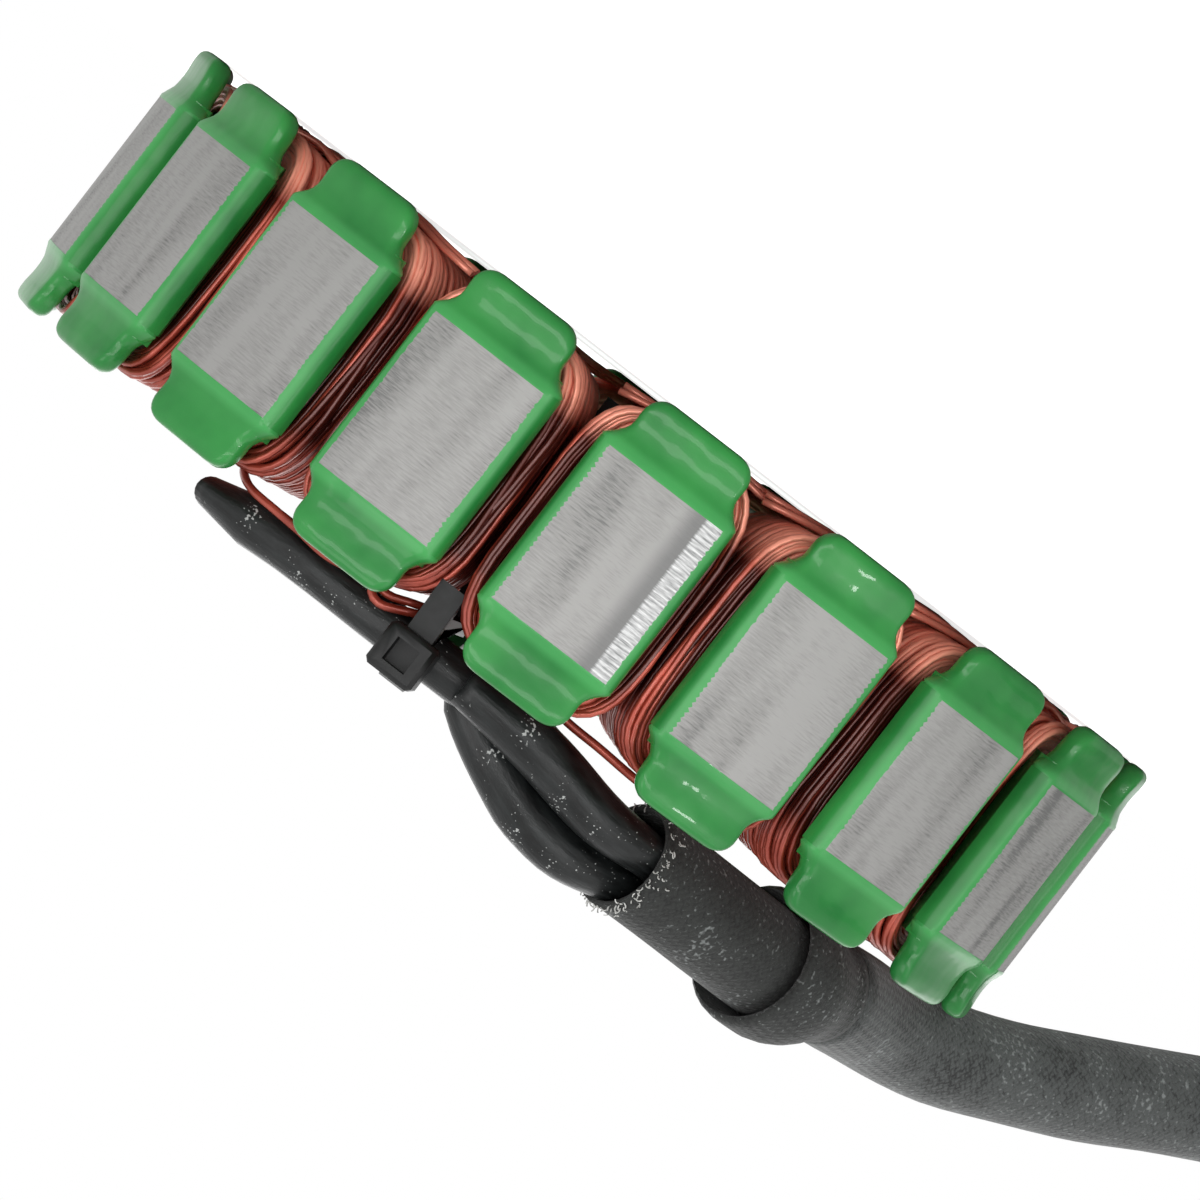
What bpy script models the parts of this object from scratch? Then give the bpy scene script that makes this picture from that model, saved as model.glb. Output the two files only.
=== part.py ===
"""Wound stator of a flywheel generator: 18 poles, star winding, woven harness.

Metres, +Z up. The stator lies flat on its 18 lower ears, so z = 0 is the plane
of their tips, and the origin is the ring's centre in that plane. The harness
leaves on the upper side. Pole 1 faces -Y and the poles count clockwise from above.
"""
import math

import bmesh
import bpy
from mathutils import Matrix, Vector

MM = 0.001

# Core
POLES = 18
STATOR_RADIUS = 52.0 * MM
STACK_HEIGHT = 16.0 * MM
POLE_LENGTH = 19.0 * MM
YOKE_WIDTH = 11.5 * MM
TOOTH_WIDTH = 5.5 * MM
SHOE_THICKNESS = 2.4 * MM
SHOE_TAPER = 2.0 * MM
SHOE_HALF_ANGLE = math.radians(7.65)
FACE_HALF_ANGLE = math.radians(6.28)
SHOE_CHAMFER = 0.7 * MM

# End plates and their ears
PLATE_THICKNESS = 1.0 * MM
PLATE_INSET = 0.25 * MM
EAR_REACH = 5.35 * MM
EAR_THICKNESS = 2.1 * MM
EAR_SETBACK = 0.2 * MM
EAR_HALF_WIDTH = 5.35 * MM
EAR_CORNER = 1.9 * MM
EAR_SHOULDER = 0.6 * MM
EAR_TRANSITION = 2.0 * MM

# Fixings through the yoke
BOLT_HOLES = 3
BOLT_HOLE_DIAMETER = 6.6 * MM
RIVETS = 6
RIVET_DIAMETER = 3.4 * MM
RIVET_HEAD_DIAMETER = 6.2 * MM
RIVET_HEAD_HEIGHT = 1.3 * MM
RIVET_CROWN_WIDTH = 0.7
RIVET_CROWN_DROP = 0.25

# Coils
COIL_NECK_GAP = 1.0 * MM
COIL_SIDE_GAP = 0.35 * MM
COIL_END_INNER = 1.9 * MM
COIL_END_OUTER = 2.7 * MM
COIL_CORNER = 0.6 * MM
COIL_RIDGES = 4
COIL_RIDGE_DEPTH = 0.35 * MM

# Harness
WIRE_DIAMETER = 0.7 * MM
LINK_SETBACK = 2.6 * MM
LINK_SPACING = 1.8 * MM
LINKS = 3
LINK_SPAN = math.radians(300.0)
NEUTRAL_SLEEVE_DIAMETER = 4.4 * MM
LEAD_SLEEVE_DIAMETER = 3.8 * MM
LEAD_SLEEVE_SWELL = 0.25
LOOM_DIAMETER = 9.5 * MM
LOOM_WALL = 0.35 * MM
LOOM_POCKET = 5.0 * MM
LEAD_ENTRY = 4.0 * MM
CUFF_DIAMETER = 12.2 * MM
CUFF_POCKET = 8.0 * MM
LOOM_ENTRY = 7.0 * MM
CORD_DIAMETER = 9.4 * MM

# Cable tie, in the slot beside pole 1
TIE_WIDTH = 2.5 * MM
TIE_THICKNESS = 1.1 * MM
TIE_HEAD_WIDTH = 4.6 * MM
TIE_HEAD_HEIGHT = 4.2 * MM
TIE_HEAD_DEPTH = 3.2 * MM
TIE_WINDOW = 2.2 * MM
TIE_HEAD_RISE = 1.1 * MM
TIE_HEAD_BEVEL = 0.4 * MM
TIE_DIP = 2.2 * MM
TIE_SINK = 1.1 * MM
TIE_BENDS = (10.0, 50.0, 90.0, 112.0)

# Put-away coil of the cable and its connector
CORD_COIL_AWAY = 47.4 * MM
CORD_COIL_ASIDE = 22.0 * MM
CORD_COIL_START = math.radians(60.5)
CORD_COIL_INNER_TURN = 42.5 * MM
CORD_COIL_TURNS = 1.3
CORD_TAIL = 43.0 * MM
CONNECTOR_LENGTH = 30.0 * MM
CONNECTOR_WIDTH = 21.0 * MM
CONNECTOR_HEIGHT = 11.0 * MM
CONNECTOR_WALL = 1.5 * MM
CONNECTOR_CAVITY_DEPTH = 13.0 * MM
BOOT_LENGTH = 9.0 * MM
BOOT_WALL = 0.8 * MM
BLADE_WIDTH = 4.0 * MM
BLADE_THICKNESS = 0.8 * MM
BLADE_LENGTH = 9.0 * MM
BLADES = 3

# Clearances between pieces that touch
SEAT_GAP = 0.3 * MM
LINER_GAP = 0.3 * MM
LINK_GAP = 0.1 * MM
LEAD_GAP = 0.35 * MM
TIE_GAP = 0.25 * MM
CUFF_GAP = 0.4 * MM
CORD_GAP = 0.6 * MM
FLOOR_GAP = 0.05 * MM

# Facets of the round forms
BORE_SEGMENTS = 32
BOLT_HOLE_SEGMENTS = 12
RIVET_HOLE_SEGMENTS = 8
RIVET_SEGMENTS = 10
LINK_SEGMENTS = 24
CORD_COIL_SEGMENTS = 32
BOOT_SEGMENTS = 16
ROUTE_STEPS = 24

MID_Z = EAR_REACH + STACK_HEIGHT / 2
STACK_LOW_Z = EAR_REACH
STACK_HIGH_Z = EAR_REACH + STACK_HEIGHT
YOKE_RADIUS = STATOR_RADIUS - POLE_LENGTH
BORE_RADIUS = YOKE_RADIUS - YOKE_WIDTH
FIXING_RADIUS = YOKE_RADIUS - YOKE_WIDTH / 2
SHOE_INNER_RADIUS = STATOR_RADIUS - SHOE_THICKNESS
NECK_RADIUS = SHOE_INNER_RADIUS - SHOE_TAPER
COIL_INNER_RADIUS = YOKE_RADIUS + TIE_THICKNESS + 2 * TIE_GAP
COIL_OUTER_RADIUS = NECK_RADIUS - COIL_NECK_GAP
COIL_HALF_HEIGHT = STACK_HEIGHT / 2 + SEAT_GAP + PLATE_THICKNESS + LINER_GAP
PITCH = math.tau / POLES
POLE_ONE_ANGLE = -math.pi / 2
TIE_ANGLE = POLE_ONE_ANGLE + PITCH / 2


def polar(radius, angle, z=0.0):
    return Vector((radius * math.cos(angle), radius * math.sin(angle), z))


def route(points):
    """Axis points: set-back from the rim in mm, degrees from +X, mm above the stack."""
    return [polar(STATOR_RADIUS - setback * MM, math.radians(degrees), STACK_HIGH_Z + rise * MM)
            for setback, degrees, rise in points]


# Axis points of the harness
NEUTRAL_ROUTE = route([
    (8.63, 311.26, 6.85), (8.88, 301.92, 6.85), (8.93, 293.83, 6.85), (8.90, 286.16, 6.85),
    (8.96, 279.90, 6.85), (8.95, 274.80, 6.85),
])
LEADS_ROUTE = route([
    (10.93, 273.35, 6.75), (10.69, 268.61, 6.95), (10.55, 263.77, 7.35), (10.62, 258.85, 8.05),
    (10.66, 252.84, 8.90), (11.54, 245.78, 9.05),
])
LOOM_ROUTE = route([
    (11.54, 245.78, 10.25), (11.95, 237.02, 10.35), (11.98, 228.34, 10.55),
    (11.73, 219.66, 10.75),
])
CUFF_ROUTE = route([
    (11.73, 219.66, 10.75), (10.82, 211.80, 10.75), (10.24, 203.13, 10.05),
])
CORD_ROUTE = route([
    (10.24, 203.13, 10.05), (8.68, 194.16, 9.95), (4.99, 185.37, 9.85), (-0.60, 180.22, 8.85),
    (-6.71, 176.48, 6.85), (-13.91, 172.85, 4.15), (-22.11, 170.05, 0.65),
    (-30.85, 167.88, -2.75), (-40.77, 165.96, -5.55), (-50.78, 164.42, -6.85),
])
TIE_SEAT = NEUTRAL_ROUTE[-2]
CORD_COIL_CENTRE = CORD_ROUTE[-1].to_2d() - Vector((CORD_COIL_AWAY, CORD_COIL_ASIDE))


def pole_angle(index):
    return POLE_ONE_ANGLE - index * PITCH


def clear_scene():
    for old in list(bpy.data.objects):
        bpy.data.objects.remove(old, do_unlink=True)


def make_collection(name):
    collection = bpy.data.collections.new(name)
    bpy.context.scene.collection.children.link(collection)
    return collection


def make_material(name, colour, roughness, metallic=0.0):
    material = bpy.data.materials.new(name)
    material.use_nodes = True
    shader = material.node_tree.nodes["Principled BSDF"]
    shader.inputs["Base Color"].default_value = (*colour, 1.0)
    shader.inputs["Roughness"].default_value = roughness
    shader.inputs["Metallic"].default_value = metallic
    return material


def add_object(name, data, material, collection):
    piece = bpy.data.objects.new(name, data)
    data.materials.append(material)
    collection.objects.link(piece)
    return piece


def circle_points(radius, count, centre=(0.0, 0.0)):
    return [
        (centre[0] + radius * math.cos(math.tau * i / count),
         centre[1] + radius * math.sin(math.tau * i / count))
        for i in range(count)
    ]


def flat_curve(name, loops, thickness):
    """A flat outline with holes, filled, its mid-plane at z = 0."""
    curve = bpy.data.curves.new(name, "CURVE")
    curve.dimensions = "2D"
    curve.fill_mode = "BOTH"
    curve.extrude = thickness / 2
    curve.render_resolution_u = 0
    for loop in loops:
        spline = curve.splines.new("POLY")
        spline.points.add(len(loop) - 1)
        for point, (x, y) in zip(spline.points, loop):
            point.co = (x, y, 0.0, 1.0)
        spline.use_cyclic_u = True
    return curve


def curve_to_mesh(curve, name):
    """The curve's solid as a welded mesh, and the curve removed."""
    holder = bpy.data.objects.new(name + "_outline", curve)
    bpy.context.scene.collection.objects.link(holder)
    graph = bpy.context.evaluated_depsgraph_get()
    mesh = bpy.data.meshes.new_from_object(holder.evaluated_get(graph))
    bpy.data.objects.remove(holder, do_unlink=True)
    mesh.name = name
    body = bmesh.new()
    body.from_mesh(mesh)
    bmesh.ops.remove_doubles(body, verts=body.verts, dist=0.001 * MM)
    bmesh.ops.recalc_face_normals(body, faces=body.faces)
    body.to_mesh(mesh)
    body.free()
    return mesh


def tube(name, points, diameter, material, collection, sides=2):
    """A round bar along a list of points, with filled caps."""
    curve = bpy.data.curves.new(name, "CURVE")
    curve.dimensions = "3D"
    curve.bevel_depth = diameter / 2
    curve.bevel_resolution = sides
    curve.use_fill_caps = True
    curve.render_resolution_u = 0
    spline = curve.splines.new("POLY")
    spline.points.add(len(points) - 1)
    for target, point in zip(spline.points, points):
        target.co = (*point, 1.0)
    return add_object(name, curve, material, collection)


def smooth_route(route, spacing):
    """Points at an even spacing on a Catmull-Rom curve through the route."""
    ends = [2 * route[0] - route[1], *route, 2 * route[-1] - route[-2]]
    dense = []
    for a, b, c, d in zip(ends, ends[1:], ends[2:], ends[3:]):
        for i in range(ROUTE_STEPS):
            t = i / ROUTE_STEPS
            dense.append(0.5 * (2 * b + (c - a) * t + (2 * a - 5 * b + 4 * c - d) * t ** 2
                                + (3 * b - a - 3 * c + d) * t ** 3))
    dense.append(route[-1])
    length = sum((q - p).length for p, q in zip(dense, dense[1:]))
    count = max(2, round(length / spacing))
    wanted = [length * i / count for i in range(1, count)]
    result = [dense[0]]
    travelled = 0.0
    for p, q in zip(dense, dense[1:]):
        step = (q - p).length
        while wanted and travelled + step >= wanted[0]:
            result.append(p.lerp(q, (wanted.pop(0) - travelled) / step))
        travelled += step
    result.append(dense[-1])
    return result


def turned(name, profile, material, collection, segments):
    """A solid of revolution: the profile runs down the outer side from the axis."""
    mesh = bpy.data.meshes.new(name)
    body = bmesh.new()
    corners = [body.verts.new((radius, 0.0, z)) for radius, z in profile]
    for a, b in zip(corners, corners[1:]):
        body.edges.new((a, b))
    body.to_mesh(mesh)
    body.free()
    piece = add_object(name, mesh, material, collection)
    screw = piece.modifiers.new("turn", "SCREW")
    screw.steps = segments
    screw.render_steps = segments
    screw.use_merge_vertices = True
    screw.merge_threshold = 0.01 * MM
    return piece


def mark_cutter(piece, cutters):
    for collection in list(piece.users_collection):
        collection.objects.unlink(piece)
    cutters.objects.link(piece)
    piece.hide_render = True
    piece.display_type = "WIRE"


def combine(piece, other, operation, name):
    modifier = piece.modifiers.new(name, "BOOLEAN")
    modifier.operation = operation
    modifier.object = other
    modifier.solver = "EXACT"


def toothed_outline(shoe_points):
    """The ring of teeth: yoke arc, tooth side and the shoe's own points, per pole."""
    outline = []
    half_width = TOOTH_WIDTH / 2
    root = math.asin(half_width / YOKE_RADIUS)
    neck = math.asin(half_width / NECK_RADIUS)
    half = [(YOKE_RADIUS, root), (NECK_RADIUS, neck), *shoe_points]
    for index in range(POLES):
        centre = pole_angle(index)
        rising = [polar(radius, centre + angle) for radius, angle in half]
        falling = [polar(radius, centre - angle) for radius, angle in reversed(half)]
        outline += [(p.x, p.y) for p in rising + falling]
    return outline


def fixing_holes():
    loops = [circle_points(BORE_RADIUS, BORE_SEGMENTS)]
    for index in range(BOLT_HOLES):
        centre = polar(FIXING_RADIUS, bolt_angle(index))
        hole = BOLT_HOLE_DIAMETER / 2
        loops.append(circle_points(hole, BOLT_HOLE_SEGMENTS, (centre.x, centre.y)))
    for index in range(RIVETS):
        centre = polar(FIXING_RADIUS, rivet_angle(index))
        hole = RIVET_DIAMETER / 2 + SEAT_GAP
        loops.append(circle_points(hole, RIVET_HOLE_SEGMENTS, (centre.x, centre.y)))
    return loops


def bolt_angle(index):
    return math.tau * index / BOLT_HOLES + math.pi / 2


def rivet_angle(index):
    """Rivets stand in pairs, midway between the bolt holes and a sixth either side."""
    return math.tau * (index + 0.5) / RIVETS + math.pi / 2


def make_core(material, collection):
    """The riveted pack of steel sheets, ground on its 18 pole faces."""
    shoe = [
        (SHOE_INNER_RADIUS, SHOE_HALF_ANGLE),
        (STATOR_RADIUS - SHOE_CHAMFER, SHOE_HALF_ANGLE),
        (STATOR_RADIUS, FACE_HALF_ANGLE),
        (STATOR_RADIUS, FACE_HALF_ANGLE / 3),
    ]
    curve = flat_curve("core_stack", [toothed_outline(shoe), *fixing_holes()], STACK_HEIGHT)
    piece = add_object("core_stack", curve, material, collection)
    piece.location.z = MID_Z
    return piece


def ear_outline():
    """One ear seen from outside: x along the rim, y away from the stack."""
    foot = SHOE_HALF_ANGLE * STATOR_RADIUS
    side = EAR_HALF_WIDTH
    half = [(foot, SEAT_GAP + PLATE_INSET), (foot, EAR_SHOULDER + SEAT_GAP)]
    for step in (1, 2):
        turn = step * math.pi / 4
        half.append((side + (foot - side) * (1 - math.sin(turn)),
                     SEAT_GAP + EAR_SHOULDER + EAR_TRANSITION * (1 - math.cos(turn))))
    for step in (0, 1, 2):
        turn = step * math.pi / 4
        half.append((side - EAR_CORNER * (1 - math.cos(turn)),
                     EAR_REACH - EAR_CORNER * (1 - math.sin(turn))))
    return half + [(-x, y) for x, y in reversed(half)]


def make_ears(name, side):
    """All the ears of one plate as one mesh: the outline bent round the stator."""
    curve = flat_curve(name, [ear_outline()], EAR_THICKNESS)
    flat = curve_to_mesh(curve, name)
    outer = STATOR_RADIUS - EAR_SETBACK
    ears = bmesh.new()
    for index in range(POLES):
        first = len(ears.verts)
        ears.from_mesh(flat)
        ears.verts.ensure_lookup_table()
        for vert in ears.verts[first:]:
            along, away, depth = vert.co
            radius = outer - EAR_THICKNESS / 2 + depth
            level = MID_Z + side * (STACK_HEIGHT / 2 + away)
            vert.co = polar(radius, pole_angle(index) + side * along / STATOR_RADIUS, level)
    bmesh.ops.recalc_face_normals(ears, faces=ears.faces)
    mesh = bpy.data.meshes.new(name)
    ears.to_mesh(mesh)
    ears.free()
    bpy.data.meshes.remove(flat)
    return bpy.data.objects.new(name, mesh)


def make_end_plate(name, side, material, collection, cutters):
    """A thick end sheet; side is +1 for the upper one and -1 for the lower."""
    rim = STATOR_RADIUS - EAR_SETBACK - EAR_THICKNESS / 2
    edge = SHOE_HALF_ANGLE - PLATE_INSET / rim
    shoe = [(SHOE_INNER_RADIUS, edge), (rim, edge)]
    curve = flat_curve(name, [toothed_outline(shoe), *fixing_holes()], PLATE_THICKNESS)
    plate = add_object(name, curve_to_mesh(curve, name), material, collection)
    level = STACK_HEIGHT / 2 + SEAT_GAP + PLATE_THICKNESS / 2
    plate.data.transform(Matrix.Translation((0.0, 0.0, MID_Z + side * level)))
    ears = make_ears(name + "_ears", side)
    collection.objects.link(ears)
    mark_cutter(ears, cutters)
    combine(plate, ears, "UNION", "ears")
    return plate


def coil_section():
    """The winding's section: (place along the tooth, share of the build-up)."""
    section = [(COIL_OUTER_RADIUS, 0.0), (COIL_INNER_RADIUS, 0.0)]
    width = (COIL_OUTER_RADIUS - COIL_INNER_RADIUS) / COIL_RIDGES
    for ridge in range(COIL_RIDGES):
        crest = COIL_INNER_RADIUS + (ridge + 0.5) * width
        section.append((crest, 1.0))
        if ridge < COIL_RIDGES - 1:
            section.append((crest + 0.5 * width, 1.0 - COIL_RIDGE_DEPTH / COIL_END_OUTER))
    return section


def coil_loop(place, share):
    """The racetrack round the tooth at one point of the section."""
    along = (place - COIL_INNER_RADIUS) / (COIL_OUTER_RADIUS - COIL_INNER_RADIUS)
    inner = TOOTH_WIDTH / 2 + LINER_GAP
    room = place * math.tan(PITCH / 2) - COIL_SIDE_GAP - inner
    end = COIL_END_INNER + along * (COIL_END_OUTER - COIL_END_INNER)
    half_width = inner + share * room
    half_height = COIL_HALF_HEIGHT + share * end
    corner_x = COIL_CORNER + share * room
    corner_z = COIL_CORNER + share * end
    points = []
    for quarter in range(4):
        side_x = 1 if quarter in (0, 3) else -1
        side_z = 1 if quarter in (0, 1) else -1
        for step in range(3):
            turn = quarter * math.pi / 2 + step * math.pi / 4
            x = side_x * (half_width - corner_x) + corner_x * math.cos(turn)
            z = side_z * (half_height - corner_z) + corner_z * math.sin(turn)
            points.append(Vector((x, -place, MID_Z + z)))
    return points


def make_coil_mesh():
    """One wound coil, lofted round the tooth of pole 1."""
    body = bmesh.new()
    rings = []
    for place, share in coil_section():
        ring = [body.verts.new(point) for point in coil_loop(place, share)]
        rings.append([body.edges.new((ring[i - 1], ring[i])) for i in range(len(ring))])
    for index, ring in enumerate(rings):
        following = rings[(index + 1) % len(rings)]
        bmesh.ops.bridge_loops(body, edges=ring + following)
    bmesh.ops.recalc_face_normals(body, faces=body.faces)
    mesh = bpy.data.meshes.new("coil")
    body.to_mesh(mesh)
    body.free()
    return mesh


def make_coils(material, collection):
    mesh = make_coil_mesh()
    mesh.materials.append(material)
    for index in range(POLES):
        coil = bpy.data.objects.new(f"coil_{index + 1:02d}", mesh)
        coil.rotation_euler.z = -index * PITCH
        collection.objects.link(coil)


def make_rivets(material, collection):
    """Round-headed rivets through the yoke, one head on each plate."""
    reach = STACK_HEIGHT / 2 + SEAT_GAP + PLATE_THICKNESS + SEAT_GAP
    top = reach + RIVET_HEAD_HEIGHT
    head = RIVET_HEAD_DIAMETER / 2
    shank = RIVET_DIAMETER / 2
    crown = (RIVET_CROWN_WIDTH * head, top - RIVET_CROWN_DROP * RIVET_HEAD_HEIGHT)
    upper = [(0.0, top), crown, (head, reach), (shank, reach)]
    profile = upper + [(radius, -z) for radius, z in reversed(upper)]
    for index in range(RIVETS):
        rivet = turned(f"rivet_{index + 1}", profile, material, collection, RIVET_SEGMENTS)
        rivet.location = polar(FIXING_RADIUS, rivet_angle(index), MID_Z)


def make_links(material, collection):
    """Crossover wires from coil to coil, lying on the lower coil ends."""
    level = MID_Z - COIL_HALF_HEIGHT - COIL_END_OUTER - LINK_GAP - WIRE_DIAMETER / 2
    for index in range(LINKS):
        radius = COIL_OUTER_RADIUS - LINK_SETBACK - (LINKS - 1 - index) * LINK_SPACING
        start = pole_angle(index) + PITCH / 2
        step = LINK_SPAN / LINK_SEGMENTS
        points = [polar(radius, start - step * i, level) for i in range(LINK_SEGMENTS + 1)]
        tube(f"phase_link_{index + 1}", points, WIRE_DIAMETER, material, collection)


def lead_swell(along):
    """The soft sleeves are fattest half way between the tie and the loom."""
    return 1.0 + LEAD_SLEEVE_SWELL * math.sin(math.pi * along)


def lead_routes():
    """Three leads side by side at their start, with the middle one rising on top.

    Two stay level, as far apart as leaves the third in contact with both.
    """
    axis = smooth_route(LEADS_ROUTE, LEAD_SLEEVE_DIAMETER)
    middle, front, back = [], [], []
    for index, point in enumerate(axis):
        reach = LEAD_SLEEVE_DIAMETER * lead_swell(index / (len(axis) - 1)) + LEAD_GAP
        before = axis[max(index - 1, 0)]
        after = axis[min(index + 1, len(axis) - 1)]
        side = (after - before).cross(Vector((0.0, 0.0, 1.0))).normalized()
        gathered = min(1.0, 2.0 * index / (len(axis) - 1))
        spread = reach * (1.0 - 0.5 * gathered)
        middle.append(point + Vector((0.0, 0.0, math.sqrt(reach ** 2 - spread ** 2))))
        front.append(point - side * spread)
        back.append(point + side * spread)
    return middle, front, back


def extend(points, length):
    """The route carried straight on at its end."""
    return [*points, points[-1] + (points[-1] - points[-2]).normalized() * length]


def make_sleeves(material, collection):
    """Varnished tubes: one over the star joint and one over each phase lead."""
    tube("neutral_sleeve", smooth_route(NEUTRAL_ROUTE, NEUTRAL_SLEEVE_DIAMETER),
         NEUTRAL_SLEEVE_DIAMETER, material, collection)
    for index, lead in enumerate(lead_routes()):
        sleeve = tube(f"lead_sleeve_{index + 1}", extend(lead, LEAD_ENTRY),
                      LEAD_SLEEVE_DIAMETER, material, collection)
        for step, point in enumerate(sleeve.data.splines[0].points):
            point.radius = lead_swell(min(1.0, step / (len(lead) - 1)))


def closed_mesh(piece):
    """A tube's curve replaced by its welded mesh, so that it can be cut."""
    mesh = curve_to_mesh(piece.data.copy(), piece.name)
    name = piece.name
    material = piece.data.materials[0]
    collection = piece.users_collection[0]
    bpy.data.objects.remove(piece, do_unlink=True)
    mesh.materials.clear()
    return add_object(name, mesh, material, collection)


def bore_pocket(piece, mouth, inward, depth, radius, cutters):
    """A blind round hole from the mouth, cut along a straight line."""
    line = [mouth - inward * depth, mouth + inward * depth]
    pocket = tube(piece.name + "_pocket", line, 2 * radius, piece.data.materials[0],
                  piece.users_collection[0], sides=4)
    pocket = closed_mesh(pocket)
    mark_cutter(pocket, cutters)
    combine(piece, pocket, "DIFFERENCE", "pocket")


def make_loom(material, collection, cutters):
    """The inner woven sleeve, open at its mouth where the three leads go in."""
    points = extend(smooth_route(LOOM_ROUTE, LOOM_DIAMETER / 2), LOOM_ENTRY)
    loom = closed_mesh(tube("loom_sleeve", points, LOOM_DIAMETER, material, collection, sides=4))
    inward = (points[1] - points[0]).normalized()
    bore_pocket(loom, points[0], inward, LOOM_POCKET, LOOM_DIAMETER / 2 - LOOM_WALL, cutters)


def make_cuff(material, collection, cutters):
    """The folded mouth of the outer sleeve, which narrows to the cable behind it."""
    points = smooth_route(CUFF_ROUTE, CUFF_DIAMETER / 4)
    cuff = tube("loom_cuff", points, CUFF_DIAMETER, material, collection, sides=4)
    narrowing = 1.0 - CORD_DIAMETER / CUFF_DIAMETER
    last = len(points) - 1
    for index, point in enumerate(cuff.data.splines[0].points):
        beyond = max(0.0, 2.0 * index / last - 1.0)
        point.radius = 1.0 - narrowing * beyond ** 2
    cuff = closed_mesh(cuff)
    inward = (points[1] - points[0]).normalized()
    bore_pocket(cuff, points[0], inward, CUFF_POCKET, LOOM_DIAMETER / 2 + CUFF_GAP, cutters)


def tie_loop(offset):
    """The strap's loop, as (distance from the stator's axis, height).

    Round the yoke, over the coil ends, and round the neutral sleeve in front of them.
    """
    centre = (math.hypot(TIE_SEAT.x, TIE_SEAT.y), TIE_SEAT.z)
    round_sleeve = NEUTRAL_SLEEVE_DIAMETER / 2 + SEAT_GAP + offset
    plate_low = STACK_LOW_Z - SEAT_GAP - PLATE_THICKNESS - SEAT_GAP - offset
    plate_high = STACK_HIGH_Z + SEAT_GAP + PLATE_THICKNESS + SEAT_GAP + offset
    bore = BORE_RADIUS - SEAT_GAP - offset
    slot = YOKE_RADIUS + TIE_GAP + offset
    front = COIL_OUTER_RADIUS + TIE_GAP + offset
    over_coils = MID_Z + COIL_HALF_HEIGHT + COIL_END_OUTER - TIE_SINK + TIE_THICKNESS - offset
    loop = [(bore, plate_high), (bore, plate_low), (slot, plate_low), (slot, over_coils)]
    loop += [(COIL_OUTER_RADIUS - TIE_GAP, over_coils), (front, over_coils - TIE_DIP)]
    for degrees in TIE_BENDS:
        turn = math.radians(degrees)
        loop.append((centre[0] + round_sleeve * math.cos(turn),
                     centre[1] + round_sleeve * math.sin(turn)))
    return loop


def block(name, size, centre, material, collection, bevel=0.0):
    """A box with its scale applied, bevelled if asked."""
    mesh = bpy.data.meshes.new(name)
    body = bmesh.new()
    bmesh.ops.create_cube(body, size=1.0)
    bmesh.ops.scale(body, vec=Vector(size), verts=body.verts)
    bmesh.ops.translate(body, vec=Vector(centre), verts=body.verts)
    body.to_mesh(mesh)
    body.free()
    piece = add_object(name, mesh, material, collection)
    if bevel:
        edge = piece.modifiers.new("edges", "BEVEL")
        edge.width = bevel
        edge.segments = 1
    return piece


def make_cable_tie(material, collection, cutters):
    """The strap with its head, in the plane of the slot beside pole 1."""
    loops = [tie_loop(TIE_THICKNESS), tie_loop(0.0)]
    mesh = curve_to_mesh(flat_curve("cable_tie", loops, TIE_WIDTH), "cable_tie")
    upright = Matrix.Rotation(math.pi / 2, 4, "X")
    turn = Matrix.Rotation(TIE_ANGLE, 4, "Z")
    mesh.transform(turn @ upright)
    tie = add_object("cable_tie", mesh, material, collection)
    face = math.hypot(TIE_SEAT.x, TIE_SEAT.y) + NEUTRAL_SLEEVE_DIAMETER / 2 + SEAT_GAP
    size = (TIE_HEAD_DEPTH, TIE_HEAD_WIDTH, TIE_HEAD_HEIGHT)
    centre = (face + TIE_HEAD_DEPTH / 2, 0.0, TIE_SEAT.z + TIE_HEAD_RISE)
    head = block("cable_tie_head", size, centre, material, collection, TIE_HEAD_BEVEL)
    window = block("cable_tie_window", (TIE_HEAD_DEPTH, TIE_WINDOW, TIE_WINDOW),
                   (face + TIE_HEAD_DEPTH, 0.0, centre[2]), material, collection)
    for tool, operation in ((head, "UNION"), (window, "DIFFERENCE")):
        tool.rotation_euler.z = TIE_ANGLE
        mark_cutter(tool, cutters)
        combine(tie, tool, operation, tool.name)


def coil_end():
    """Where the put-away coil lets the cable go: its place and its heading."""
    turn = CORD_COIL_START + math.tau * CORD_COIL_TURNS
    radius = CORD_COIL_INNER_TURN + CORD_COIL_TURNS * CORD_DIAMETER
    place = polar(radius, turn) + Vector((*CORD_COIL_CENTRE, CORD_DIAMETER / 2 + FLOOR_GAP))
    return place, turn + math.pi / 2


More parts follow.
